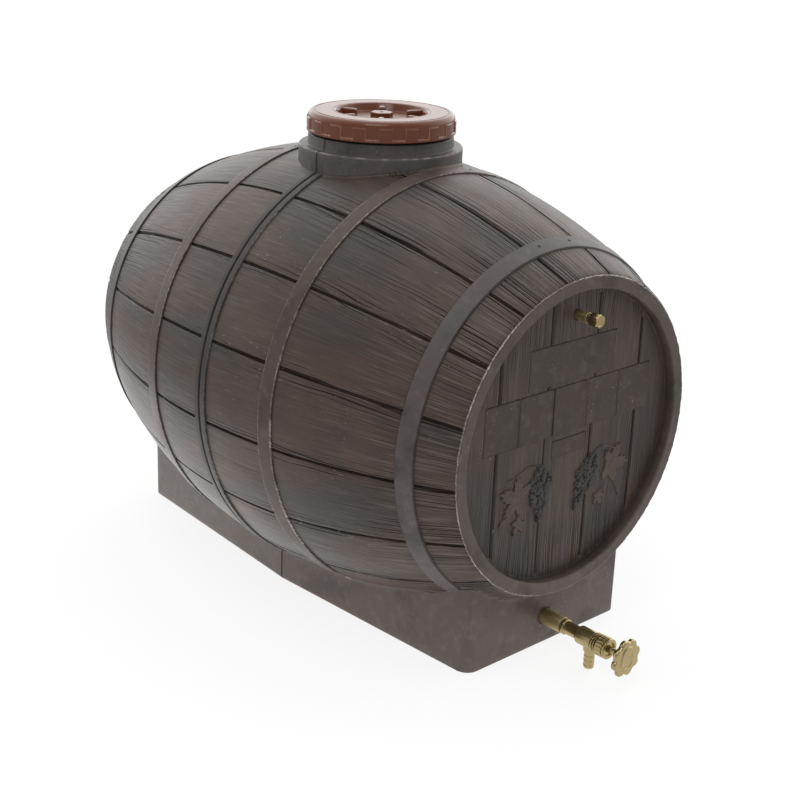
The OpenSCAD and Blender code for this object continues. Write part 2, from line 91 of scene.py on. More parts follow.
class BarrelSizes(bpy.types.PropertyGroup):
    """Lengths and angles of the moulded barrel"""
    bulge_r: length("Bulge radius", "Outside radius at the middle of the staves", 319.0)
    end_r: length("End radius", "Outside radius at the rims", 222.0)
    axis_height: length("Axis height", "Height of the barrel's axis over the floor", 320.0)
    wall: length("Wall", "Thickness of the moulded wall", 6.0)
    head_r: length("Head radius", "Radius of the flat head inside the rim", 203.5)
    head_depth: length("Head depth", "How far the heads lie behind the rims", 16.0)
    rim_round: length("Rim rounding", "Rounding of the rim's edges", 2.6)
    stave_angle: FloatProperty(name="Stave angle", description="Angle that one stave takes up",
                               default=math.radians(21.1), subtype="ANGLE")
    stave_count: IntProperty(name="Stave joints", description="Joints on each side of the top", default=7)
    joint_depth: length("Joint depth", "Depth of the groove between two staves", 2.0)
    head_back: length("Head back", "How far the ground under the planks lies behind them", 3.5)
    plate_sink: length("Plate sink", "Depth of the front head's plates at their top and left edges", 1.7)
    plank_pitch: length("Plank pitch", "Distance between the plank joints of a head", 91.0)
    grain_depth: length("Grain depth", "Depth of the moulded wood grain", 0.35)
    hoop_inner: length("Inner hoop", "Distance of the inner hoops from the middle", 135.0)
    hoop_outer: length("Outer hoop", "Distance of the outer hoops from the middle", 346.2)
    hoop_width: length("Hoop width", "Width of a hoop", 24.4)
    hoop_height: length("Hoop height", "How far a hoop stands out of the staves", 2.5)
    strip_width: length("Middle strip", "Width of one of the two middle strips", 10.95)
    strip_at: length("Strip offset", "Distance of a middle strip from the middle", 6.725)
    base_mid: length("Base half width", "Half the width of the base at its middle", 172.5)
    base_end: length("Base end half width", "Half the width of the base at its ends", 150.0)
    base_half: length("Base half length", "Half the length of the base", 377.0)
    base_bevel: length("Base rounding", "Rounding round the foot of the base", 4.0)
    base_edge: length("Base edge", "Radius of the base's upright edges at the foot", 5.0)
    base_corner: length("Base corner", "Radius of the left front corner at its foot, less above", 20.0)
    base_corner_top: length("Corner height", "Height where the upright edges are sharp", 90.0)
    base_flare: length("Base flare", "Rounding where the base meets the staves", 11.0)
    collar_r: length("Collar radius", "Outside radius of the collar under the neck", 119.0)
    collar_z: length("Collar height", "Height of the top of the collar", 648.0)
    shoulder_r: length("Shoulder radius", "Outside radius of the neck's shoulder", 105.5)
    shoulder_z: length("Shoulder height", "Height of the top of the shoulder", 664.5)
    neck_root: length("Thread root", "Radius of the neck at the root of its thread", 97.6)
    neck_crest: length("Thread crest", "Radius of the neck at the crest of its thread", 100.2)
    neck_pitch: length("Thread pitch", "Rise of the neck's thread in a turn", 9.0)
    lip_z: length("Lip height", "Height of the neck's lip", 688.0)
    mouth_r: length("Mouth radius", "Radius of the mouth", 93.0)


class BarrelColours(bpy.types.PropertyGroup):
    """Colours of the plastics, metals and seals"""
    stave: colour("Stave", "Moulded wood of the staves", "#483830")
    plank: colour("Plank", "Moulded wood of the head planks", "#453930")
    shadow_stave: colour("Dark stave", "Darker patches of the moulded wood", "#38312c")
    # Also laid over the joint layer: dark joints and seams, with painted shade in hollows
    grain: colour("Grain", "Dark lines in the wood grain", "#191513")
    hoop: colour("Hoop", "Smooth dark hoops, collar and neck", "#4f4948")
    smooth: colour("Smooth", "Base and rims", "#4d433e")
    band: colour("Band", "Inner hoops and vine leaves", "#483c36")
    plate: colour("Plate", "Bare plates of the front head", "#3d342e")
    grape: colour("Grape", "Grapes of the front head", "#2c2a29")
    wear: colour("Wear", "Pale flash and scuffs", "#b9b1ac")
    lid: colour("Lid", "Red-brown lid", "#653722")
    # Painted shade in the lid's ring grooves
    lid_groove_shade: colour("Lid groove", "Dark grooves of the lid", "#24120c")
    # Painted highlight on the edges of the lid's pads and on the ledges below the gaps
    lid_highlight: colour("Lid rub", "Rubbed edges of the lid's pads", "#cf9f86")
    brass: colour("Brass", "Tap and vent plug", "#b8a77a")
    tarnish: colour("Tarnish", "Dull patches of the brass", "#86754a")
    rubber: colour("Rubber", "Washers and seals", "#1d1c1c")
    fibre: colour("Fibre", "Pressed fibre washers", "#3b2a22")
    speckle: colour("Speckle", "Fine specks in rubber and fibre", "#6a625e")


# Mesh helpers

def link(name, data):
    """A new object of the scene for a mesh, a lamp or a camera."""
    obj = bpy.data.objects.new(name, data)
    bpy.context.scene.collection.objects.link(obj)
    return obj


def mesh_object(name, points, faces):
    """An object from points in metres and faces, with its normals outwards."""
    mesh = bpy.data.meshes.new(name)
    mesh.from_pydata([tuple(p) for p in points], [], [tuple(f) for f in faces])
    work = bmesh.new()
    work.from_mesh(mesh)
    bmesh.ops.recalc_face_normals(work, faces=work.faces)
    work.to_mesh(mesh)
    work.free()
    return link(name, mesh)


def shade(obj, angle):
    """Smooth shading with sharp edges over an angle in degrees."""
    mesh = obj.data
    mesh.polygons.foreach_set("use_smooth", np.ones(len(mesh.polygons), dtype=bool))
    mesh.set_sharp_from_angle(angle=math.radians(angle))
    mesh.update()


def ring_faces(rows):
    """Quads and fans between rows of point numbers that each close on themselves; a row of one is a pole."""
    faces = []
    for low, high in zip(rows[:-1], rows[1:]):
        count = max(len(low), len(high))
        for i in range(count):
            j = (i + 1) % count
            if len(low) == 1:
                faces.append((low[0], high[j], high[i]))
            elif len(high) == 1:
                faces.append((low[i], low[j], high[0]))
            else:
                faces.append((low[i], low[j], high[j], high[i]))
    return faces


def rings_to_mesh(rings, loop=False):
    """Points and faces from a list of rings, which are arrays of points; an array of one is a pole."""
    rows, start = [], 0
    for ring in rings:
        rows.append(list(range(start, start + len(ring))))
        start += len(ring)
    faces = ring_faces(rows + [rows[0]] if loop else rows)
    return np.concatenate(rings), faces


def pole(y, z):
    """A ring of one point over the middle line."""
    return np.array([[0.0, y, z]])


def flat_ring(ring, z):
    """A ring of flat points at a height."""
    return np.column_stack([ring, np.full(len(ring), z)])


def wrap(angle):
    """An angle, or the difference of two, between minus and plus half a turn."""
    return (angle + math.pi) % (2 * math.pi) - math.pi


def off_flat(a):
    """Cosine of the angle from the middle of the nearest of a hexagon's flats."""
    return np.cos((a + math.pi / 6) % (math.pi / 3) - math.pi / 6)


def turns(steps):
    """Evenly spaced angles round a full turn."""
    return np.linspace(0, 2 * math.pi, steps, endpoint=False)


def soften(corners, steps=5):
    """A profile of (radius, height, rounding) corners as points (radius, height), the corners rounded."""
    out = []
    for i, corner in enumerate(corners):
        r, h, ease = (*corner, 0.0)[:3]
        here = np.array([r, h])
        if ease <= 0 or i in (0, len(corners) - 1):
            out.append((r, h))
            continue
        to_last = np.array(corners[i - 1][:2]) - here
        to_next = np.array(corners[i + 1][:2]) - here
        to_last /= np.linalg.norm(to_last)
        to_next /= np.linalg.norm(to_next)
        half = math.acos(float(np.clip(to_last @ to_next, -1, 1))) / 2
        cut = ease / math.tan(half)
        first, last = here + to_last * cut, here + to_next * cut
        between = (to_last + to_next) / np.linalg.norm(to_last + to_next)
        centre = here + between * ease / math.sin(half)
        a, b = math.atan2(*(first - centre)[::-1]), math.atan2(*(last - centre)[::-1])
        turn = wrap(b - a)
        for k in range(steps + 1):
            angle = a + turn * k / steps
            out.append(tuple(centre + ease * np.array([math.cos(angle), math.sin(angle)])))
    return out


def profile_mm(corners, steps=5, lift=0.0):
    """A softened profile in metres from corners in millimetres, raised by a height in metres."""
    return [(r, lift + h) for r, h in soften([tuple(v * MM for v in c) for c in corners], steps)]


def lathe(profile, angles, reshape=None, loop=False):
    """A mesh round the local Z axis from a profile in metres; reshape bends each ring's radii by angle."""
    rings = []
    for r, h in profile:
        if r < 1e-7:
            rings.append(pole(0.0, h))
            continue
        radii = np.full(len(angles), r) if reshape is None else reshape(r, h, angles)
        rings.append(flat_ring(np.column_stack([radii * np.cos(angles), radii * np.sin(angles)]), h))
    return rings_to_mesh(rings, loop)


def upright(r, low, high, steps=160):
    """A plain round cutter along Z."""
    return lathe([(0.0, low), (r, low), (r, high), (0.0, high)], turns(steps))


def outward(points, y, z):
    """Points from a local frame whose Z runs out of the front end, at y and z in the row frame."""
    return np.stack([points[:, 0], y - points[:, 2], z + points[:, 1]], 1)


def along_front(r, y, z, low, high, steps=64):
    """A plain round cutter out of the front end."""
    points, faces = upright(r, low, high, steps)
    return outward(points, y, z), faces


def boolean(target, tool, operation):
    """Joins or cuts one closed mesh with another and drops the tool."""
    step = target.modifiers.new(operation, "BOOLEAN")
    step.operation = operation
    step.solver = "MANIFOLD"
    step.object = tool
    graph = bpy.context.evaluated_depsgraph_get()
    done = bpy.data.meshes.new_from_object(target.evaluated_get(graph))
    if len(done.polygons) == 0:
        raise RuntimeError(f"the {operation.lower()} of {target.name} with {tool.name} left nothing")
    target.modifiers.clear()
    old, spent = target.data, tool.data
    target.data = done
    bpy.data.objects.remove(tool)
    for mesh in (old, spent):
        bpy.data.meshes.remove(mesh)


def combine(target, operation, shapes):
    """Joins or cuts a piece with named shapes, each as points and faces, one after the other."""
    for name, points_faces in shapes:
        boolean(target, mesh_object(name, *points_faces), operation)


def noise(u, v, seed):
    """Smooth noise between -1 and 1 over unit cells, the same in every run."""
    def lattice(i, j):
        h = np.sin(i * 127.1 + j * 311.7 + seed * 74.7) * 43758.5453
        return 2 * (h - np.floor(h)) - 1
    i, j = np.floor(u), np.floor(v)
    a, b = u - i, v - j
    a, b = a * a * (3 - 2 * a), b * b * (3 - 2 * b)
    low = lattice(i, j) * (1 - a) + lattice(i + 1, j) * a
    high = lattice(i, j + 1) * (1 - a) + lattice(i + 1, j + 1) * a
    return low * (1 - b) + high * b


def smoothstep(low, high, x):
    """A smooth rise from 0 at low to 1 at high."""
    t = np.clip((x - low) / (high - low), 0, 1)
    return t * t * (3 - 2 * t)


def thread(root, crest, pitch, z_low, z_high, start, inner=False, steps=96):
    """A helical thread ridge round Z as a closed mesh, its ends running out into the wall."""
    rise = z_high - z_low - pitch * 0.6
    count = int(steps * rise / pitch)
    bury = 2 * MM if inner else -2 * MM
    section = [(root + bury, -0.36), (root, -0.30), (crest, -0.10),
               (crest, 0.10), (root, 0.30), (root + bury, 0.36)]
    ground = root + bury * 0.5
    rings = []
    for i in range(count + 1):
        angle = start + 2 * math.pi * i / steps
        z = z_low + pitch * 0.3 + rise * i / count
        fade = max(smoothstep(0, 10, min(i, count - i)), 0.02)
        ring = []
        for r, offset in section:
            if (r - root) * bury <= 0:
                r = ground + (r - root - bury * 0.5) * fade
            ring.append((r * math.cos(angle), r * math.sin(angle), z + offset * pitch))
        rings.append(np.array(ring))
    points, faces = rings_to_mesh(rings)
    last = len(points) - len(section)
    faces += [tuple(range(len(section)))[::-1], tuple(range(last, last + len(section)))]
    return points, faces


def read_points(items, field):
    """X, Y and Z of a mesh's points or faces."""
    values = np.empty(len(items) * 3)
    items.foreach_get(field, values)
    return values.reshape(-1, 3).T


def write_layers(mesh, **layers):
    """Writes values at a mesh's points that its materials read."""
    for name, values in layers.items():
        layer = mesh.attributes.new(name, "FLOAT", "POINT")
        layer.data.foreach_set("value", values.astype(np.float32))


# Materials

# Settings that many shader nodes share
TIMES, TIMES_PLUS, MINUS = {"operation": "MULTIPLY"}, {"operation": "MULTIPLY_ADD"}, {"operation": "SUBTRACT"}
DIVIDED, LARGER, UNSIGNED = {"operation": "DIVIDE"}, {"operation": "MAXIMUM"}, {"operation": "ABSOLUTE"}
SMOOTH = {"interpolation_type": "SMOOTHSTEP"}


def add_node(tree, kind, inputs=(), **settings):
    """A shader node with its settings, and its inputs set to values or joined to sockets or nodes."""
    node = tree.nodes.new("ShaderNode" + kind)
    for key, value in settings.items():
        setattr(node, key, value)
    for key, value in inputs.items() if isinstance(inputs, dict) else enumerate(inputs):
        if isinstance(value, bpy.types.Node):
            value = value.outputs[0]
        if isinstance(value, bpy.types.NodeSocket):
            tree.links.new(value, node.inputs[key])
        else:
            node.inputs[key].default_value = value
    return node


def new_material(name):
    """An empty material, add_node for its tree, and its place in metres."""
    material = bpy.data.materials.new(name)
    material.use_nodes = True
    material.node_tree.nodes.clear()
    add = partial(add_node, material.node_tree)
    return material, add, add("TexCoord").outputs["Object"]


def per_mm(size):
    """Scale of a pattern per metre, from its real size in millimetres."""
    return 1 / (size * MM)


def patchy(add, marks, low, high, place, apart, thin, thick):
    """The peaks of a pattern, only in patches that lie a distance apart in millimetres."""
    peaks = add("MapRange", (marks, low, high), **SMOOTH)
    patch = add("TexNoise", {"Vector": place, "Scale": per_mm(apart)})
    return add("Math", (peaks, add("MapRange", (patch, thin, thick), **SMOOTH)), **TIMES)


def wood_coordinates(add, place, sizes, staves):
    """Across and along the wood in metres, a number for each stave or plank, and how near its joints."""
    x, y, z = add("SeparateXYZ", [place]).outputs
    across, along = x, add("Math", (z, sizes.axis_height), **MINUS)
    if staves:
        angle = add("Math", (x, along), operation="ARCTAN2")
        across, along = add("Math", (angle, sizes.bulge_r), **TIMES), y
        count = add("Math", (angle, sizes.stave_angle), **DIVIDED)
    else:
        count = add("Math", (x, sizes.plank_pitch), **DIVIDED)
    number = add("Math", [add("Math", (count, 0.5), operation="ADD")], operation="FLOOR")
    edge = add("Math", [add("Math", (count, number), **MINUS)], **UNSIGNED)
    return across, along, number, edge


def polyethylene_wood(name, sizes, colours, staves):
    """Rotomoulded polyethylene off a wood-grained mould: dull brown, thin dark grain lines, pale specks."""
    material, add, place = new_material(name)
    across, along, number, edge = wood_coordinates(add, place, sizes, staves)
    ends = add("Math", [along], **UNSIGNED)
    chance = add("TexWhiteNoise", {"W": number}, noise_dimensions="1D")
    sheet = add("Math", (chance, 40.0), **TIMES)

    def streaks(wide, long, detail=2.0, roughness=0.5):
        """Soft noise drawn out along the wood, its size in millimetres, another on each stave or plank."""
        u = add("Math", (across, per_mm(wide)), **TIMES)
        v = add("Math", (along, per_mm(long)), **TIMES)
        return add("TexNoise", {"Vector": add("CombineXYZ", (u, v, sheet)), "Scale": 1.0, "Detail": detail,
                                "Roughness": roughness})

    bent = add("Math", (streaks(71.43, 200.0), 0.024, across), **TIMES_PLUS)
    bent = add("Math", (along, add("Math", (chance, 0.12, -0.06), **TIMES_PLUS), bent), **TIMES_PLUS)
    swell = add("MapRange", (streaks(16.667, 200.0, 1.0), 0.35, 0.65, 0.5, 1.5), **SMOOTH)
    if staves:
        swell = add("Math", (swell, add("MapRange", (across, 0.02, 0.25, 1.0, 1.5), **SMOOTH)), **TIMES)

    def lines(apart, width):
        """Thin lines along the wood, about so many millimetres apart, uneven and broken in their lengths."""
        spot = add("Math", (bent, per_mm(apart), sheet), **TIMES_PLUS)
        gap = add("TexVoronoi", {"W": spot, "Scale": 1.0, "Randomness": 1.0}, voronoi_dimensions="1D",
                  feature="DISTANCE_TO_EDGE")
        gap = add("Math", (gap, swell), **DIVIDED)
        broken = add("MapRange", (streaks(apart * 2, 166.67), 0.38, 0.54), **SMOOTH)
        return add("Math", (add("MapRange", (gap, width, width * 0.35), **SMOOTH), broken), **TIMES)

    cluster = add("MapRange", (streaks(41.667, 500.0, 1.0), 0.4, 0.6, 0.2, 1.0), **SMOOTH)
    zone = add("MapRange", (streaks(125.0, 400.0, 1.0), 0.4, 0.6, 0.0, 0.7), **SMOOTH)
    zone = add("Math", (zone, cluster), **TIMES)
    zone = add("Math", (zone, add("MapRange", (edge, 0.26, 0.45), **SMOOTH)), **LARGER)
    if staves:
        outer = add("Math", (cluster, add("MapRange", (ends, 0.2, 0.36), **SMOOTH)), **TIMES)
        front = add("MapRange", (along, 0.02, -0.2, 0.42, 1.0), **SMOOTH)
        rear = add("MapRange", (along, 0.1, 0.3, 0.0, 0.85), **SMOOTH)
        zone = add("Math", (zone, outer), **LARGER)
        zone = add("Math", (zone, add("Math", (front, rear), **LARGER)), **TIMES)
        line = add("Math", (lines(8.0, 0.14), add("Math", (lines(4.0, 0.13), 0.55), **TIMES)), **LARGER)
    else:
        zone = add("Math", (zone, 0.45, 0.2), **TIMES_PLUS)
        zone = add("Math", (zone, add("MapRange", (ends, 0.06, 0.17, 0.0, 0.85), **SMOOTH)), **LARGER)
        line = add("Math", (add("Math", (lines(8.0, 0.11), 0.5), **TIMES), lines(3.8462, 0.14)), **LARGER)
    line = add("Math", (line, zone), **TIMES)
    # The joint layer brings dark joints, partly painted shade in the grooves; in these hollows the sheen is
    # turned down too, as painted shade on reflections
    joint = add("Attribute", attribute_name="joint").outputs["Fac"]
    hollow = add("Math", (line, add("Math", (joint, 0.85), **TIMES)), **LARGER)
    fine = streaks(2.0833, 71.43, 2.0, 0.6)
    grit = add("TexNoise", {"Vector": place, "Scale": per_mm(2.381), "Detail": 1.0})
    speck = patchy(add, grit, 0.70, 0.77, place, 111.11, 0.56, 0.68)
    scratch = patchy(add, streaks(2.0833, 13.333, 1.0), 0.69, 0.75, place, 142.86, 0.5, 0.62)
    scratch = add("Math", (scratch, add("MapRange", (edge, 0.2, 0.45, 0.25, 0.8), **SMOOTH)), **TIMES)
    speck = add("Math", (speck, scratch), **LARGER)
    mottle = add("TexNoise", {"Vector": place, "Scale": per_mm(38.462), "Detail": 3.0})
    ridges = add("Math", (add("MapRange", (fine, 0.5, 0.72), **SMOOTH),
                          add("MapRange", (ends, 0.24, 0.36, 0.05, 0.14), **SMOOTH)), **TIMES)
    body = (*(colours.stave if staves else colours.plank), 1.0)
    for factor, coat in (
            (add("MapRange", (streaks(111.11, 250.0, 3.0), 0.4, 0.6), **SMOOTH), colours.shadow_stave),
            (add("MapRange", (mottle, 0.42, 0.68, 0.0, 0.5), **SMOOTH), colours.shadow_stave),
            (ridges, colours.wear),
            (add("MapRange", (fine, 0.45, 0.30, 0.0, 0.12), **SMOOTH), colours.grain),
            (add("Math", (hollow, 0.95), **TIMES), colours.grain),
            (add("Math", (speck, 0.36), **TIMES), colours.wear),
            (add("Attribute", attribute_name="wear").outputs["Fac"], colours.wear)):
        body = add("Mix", {0: factor, 6: body, 7: (*coat, 1.0)}, data_type="RGBA").outputs[2]
    # The mould's own grit is finer than 1 mm; it is drawn at 1.4 mm so that it shows
    grit = add("TexNoise", {"Vector": place, "Scale": per_mm(1.4286)})
    height = add("Math", (add("Math", (fine, 0.2), **TIMES), line), **MINUS)
    height = add("Math", (grit, 0.1, height), **TIMES_PLUS)
    add("OutputMaterial", [add("BsdfPrincipled", {
        "Base Color": body,
        "Specular IOR Level": add("MapRange", (hollow, 0.0, 1.0, 0.33, 0.05), **SMOOTH),
        "Roughness": add("MapRange", (fine, 0.3, 0.7, 0.48, 0.40), **SMOOTH),
        "Normal": add("Bump", {"Strength": 0.8, "Distance": 1.1 * MM, "Height": height})})])
    return material


def polyethylene_smooth(name, base, colours, roughness=0.42):
    """Rotomoulded polyethylene off a plain mould: satin, faintly pitted, soft mottling and pale flash."""
    material, add, place = new_material(name)
    mottle = add("TexNoise", {"Vector": place, "Scale": per_mm(62.5), "Detail": 4.0, "Roughness": 0.55})
    haze = add("TexNoise", {"Vector": place, "Scale": per_mm(14.286), "Detail": 4.0, "Roughness": 0.6})
    grit = add("TexNoise", {"Vector": place, "Scale": per_mm(3.0303), "Detail": 1.0})
    speck = patchy(add, grit, 0.71, 0.78, place, 111.11, 0.5, 0.64)
    # The joint layer: dark joints and seams, with painted shade along the plates' top and left edges, on the
    # rims' inner walls, at the hoops' feet and under the lid; the sheen drops there too
    hollow = add("Attribute", attribute_name="joint").outputs["Fac"]
    body = (*base, 1.0)
    for factor, coat in (
            (add("MapRange", (mottle, 0.54, 0.3, 0.0, 0.42), **SMOOTH), colours.grain),
            (add("MapRange", (haze, 0.48, 0.75, 0.0, 0.05), **SMOOTH), colours.wear),
            (add("Math", (speck, 0.35), **TIMES), colours.wear),
            (hollow, colours.grain),
            (add("Attribute", attribute_name="wear").outputs["Fac"], colours.wear)):
        body = add("Mix", {0: factor, 6: body, 7: (*coat, 1.0)}, data_type="RGBA").outputs[2]
    # Moulded pits are finer than 1 mm; they are drawn at 2.4 mm so that they show
    pits = add("TexNoise", {"Vector": place, "Scale": per_mm(2.381), "Detail": 3.0})
    add("OutputMaterial", [add("BsdfPrincipled", {
        "Base Color": body,
        "Specular IOR Level": add("MapRange", (hollow, 0.0, 1.0, 0.28, 0.05), **SMOOTH),
        "Roughness": add("MapRange", (mottle, 0.3, 0.7, roughness - 0.05, roughness + 0.06), **SMOOTH),
        "Normal": add("Bump", {"Strength": 0.35, "Distance": 0.4 * MM, "Height": pits})})])
    return material


def polypropylene_lid(name, colours):
    """Injection-moulded polypropylene: an even red-brown with a clear sheen, painted shade in its grooves and
    painted highlights on its pads' edges.
    """
    material, add, place = new_material(name)
    body = (*colours.lid, 1.0)
    # Painted shade in the grooves, then painted highlights on the pads' edges and ledges
    for layer, coat in (("joint", colours.lid_groove_shade), ("wear", colours.lid_highlight)):
        factor = add("Attribute", attribute_name=layer).outputs["Fac"]
        body = add("Mix", {0: factor, 6: body, 7: (*coat, 1.0)}, data_type="RGBA").outputs[2]
    up = add("SeparateXYZ", [add("NewGeometry").outputs["Normal"]]).outputs[2]
    ripple = add("TexNoise", {"Vector": place, "Scale": per_mm(22.222)})
    add("OutputMaterial", [add("BsdfPrincipled", {
        "Base Color": body, "Specular IOR Level": 0.38,
        "Roughness": add("MapRange", (up, 0.8, 0.99, 0.18, 0.28), **SMOOTH),
        "Normal": add("Bump", {"Strength": 0.15, "Distance": 0.4 * MM, "Height": ripple})})])
    return material


def brass(name, colours, turned, roughness=0.25):
    """Brass: turned, its fine rings stretch the light along the piece; cast, a faint grain softens it."""
    material, add, place = new_material(name)
    # Turning marks are about 0.1 mm apart and casting grit is finer than 1 mm; both are drawn coarser to show
    wide, along = (25.0, 0.25) if turned else (1.4286, 1.4286)
    stretch = (per_mm(wide), per_mm(along), per_mm(wide))
    marks = add("TexNoise", {"Vector": add("VectorMath", (place, stretch), **TIMES), "Scale": 1.0})
    dull = add("TexNoise", {"Vector": place, "Scale": per_mm(8.3333), "Detail": 3.0})
    body = add("Mix", {0: add("Math", (dull, 0.35), **TIMES), 6: (*colours.brass, 1.0),
                       7: (*colours.tarnish, 1.0)}, data_type="RGBA").outputs[2]
    looks = {"Base Color": body, "Metallic": 1.0, "Roughness": roughness,
             "Normal": add("Bump", {"Strength": 0.2, "Distance": 0.1 * MM, "Height": marks})}
    if turned:
        rings = add("Tangent", direction_type="RADIAL", axis="Y")
        looks.update({"Anisotropic": 0.4, "Anisotropic Rotation": 0.25, "Tangent": rings})
    add("OutputMaterial", [add("BsdfPrincipled", looks)])
    return material


def matte(name, base, colours, roughness, grain):
    """Moulded rubber or pressed fibre: dull with a fine speckle, its size in millimetres."""
    material, add, place = new_material(name)
    # The real speckle is a tenth of a millimetre; it is drawn coarser so that it shows
    speck = add("TexNoise", {"Vector": place, "Scale": per_mm(grain), "Detail": 3.0})
    body = add("Mix", {0: add("Math", (speck, 0.4), **TIMES), 6: (*base, 1.0), 7: (*colours.speckle, 1.0)},
               data_type="RGBA").outputs[2]
    add("OutputMaterial", [add("BsdfPrincipled", {
        "Base Color": body, "Roughness": roughness,
        "Normal": add("Bump", {"Strength": 0.25, "Distance": 0.2 * MM, "Height": speck})})])
    return material


def finish_piece(obj, materials, body, nodes, angle=35.0):
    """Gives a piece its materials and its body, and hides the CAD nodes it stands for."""
    obj.data.materials.clear()
    for material in materials:
        obj.data.materials.append(material)
    shade(obj, angle)
    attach(obj, body)
    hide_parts(*nodes)


# Barrel shell

# Distances in metres between the moulded grain lines of the staves and of the planks
STAVE_GRAIN, PLANK_GRAIN = 0.0095, 0.0058
# How far off the staves a point still counts as their skin
SKIN_REACH = 3.2 * MM
# Left, right, lower and upper edges of the front head's plates from the barrel's axis
PLATES = [tuple(v * MM for v in plate) for plate in (
    (-84, 84, 77, 134), (-32, 34, -27, -2), *((64.2 * i - 160.5, 64.2 * i - 98, 5, 73) for i in range(5)))]
# Width of the painted shadow line along a plate's top and left edges
PLATE_SHADE_LINE = 1.8 * MM
# The front head's two ornaments, right and left, in millimetres from the barrel's axis: top and foot of the
# bunch; middle, size and turn of each leaf; start, reach and bend of each tendril
ORNAMENTS = (
    (((52, -42), (26, -112)),
     (((92, -64), 38, -0.1), ((72, -106), 17, -1.2)),
     (((52, -40), (58, 4), 6), ((88, -80), (30, -32), 7))),
    (((51, -36), (49, -108)),
     (((90, -68), 39, 0.4), ((86, -104), 19, -0.9)),
     (((50, -34), (62, 2), 6), ((98, -66), (26, -40), -7))))
# Numbers of the shell's materials
STAVE, PLANK, PLAIN, SATIN, PLATE, GRAPE, BAND = range(7)


def skin_r(sizes, y):
    """Outside radius of the staves at a distance from the middle."""
    bow = sizes.bulge_r - sizes.end_r
    arc_r = (SHELL_HALF ** 2 + bow ** 2) / (2 * bow)
    return np.sqrt(arc_r ** 2 - np.square(y)) - (arc_r - sizes.bulge_r)


def barrel_ring(sizes, y, radii, angles):
    """A ring of points round the barrel's axis, by angle from the top, at a distance from the middle."""
    up = sizes.axis_height + radii * np.cos(angles)
    return np.stack([radii * np.sin(angles), np.full(len(angles), y), up], 1)


def hoop_list(sizes):
    """(distance from the middle, width) of every hoop."""
    wide = [(side * at, sizes.hoop_width) for at in (sizes.hoop_inner, sizes.hoop_outer) for side in (-1, 1)]
    return wide + [(side * sizes.strip_at, sizes.strip_width) for side in (-1, 1)]


def joint_angles(sizes):
    """Angles from the top of the joints between the staves, in radians."""
    side = [(i + 0.5) * sizes.stave_angle for i in range(sizes.stave_count)]
    return np.array(sorted([-a for a in side] + side))


def skin_stations(sizes):
    """Distances from the middle for the rings of the staves, closer at the edges of the hoops."""
    reach = SHELL_HALF - 4 * MM
    edge = [-1.6, -0.7, 0.0, 0.5, 1.2, 2.2]
    least = 0.00045
    marks = set(np.round(np.linspace(-reach, reach, 116), 6))
    for centre, width in hoop_list(sizes):
        for side in (-1, 1):
            marks |= {round(centre + side * (width / 2 - e * MM), 6) for e in edge}
    keep = [min(marks)]
    for y in sorted(marks):
        if y - keep[-1] > least:
            keep.append(y)
    return np.array(keep)


def skin_angles(sizes, joints):
    """Angles from the top for the columns of the skin, closer at the joints between the staves."""
    spread = np.array([-3.6, -2.4, -1.6, -0.7, 0.0, 0.7, 1.6, 2.4, 3.6]) * MM / sizes.bulge_r
    clear = 4.9 * MM / sizes.bulge_r
    even = np.round(np.linspace(-math.pi, math.pi, 840, endpoint=False), 6)
    angles = {a for a in even if np.min(np.abs(wrap(joints - a))) >= clear}
    for joint in joints:
        angles |= {round(float(joint + s), 6) for s in spread}
    return np.array(sorted(angles))


def rim_profile(sizes):
    """(distance from the middle, radius, share of ragged edge) from the staves round a rim to the head."""
    half, head_y = SHELL_HALF, SHELL_HALF - sizes.head_depth
    outer, inner, ease = sizes.end_r, sizes.head_r, sizes.rim_round
    quarter = [math.pi / 2 * k / 5 for k in range(6)]
    shares = (0.3, 1.0, 1.0, 1.0, 0.3, 0.3)
    rim = [(half - ease + ease * math.sin(t), outer - ease + ease * math.cos(t), share)
           for t, share in zip(quarter, shares)]
    rim += [(half, outer - ease - 0.4 * MM, 0.0), (half, inner + ease + 0.4 * MM, 0.0)]
    rim += [(half - ease + ease * math.cos(t), inner + ease - ease * math.sin(t), 0.0) for t in quarter]
    return rim + [(head_y + 2.5 * MM, inner, 0.0), (head_y + 0.8 * MM, inner - 0.6 * MM, 0.0),
                  (head_y, inner - 2.5 * MM, 0.0), (head_y - sizes.head_back, inner - 2.6 * MM, 0.0)]


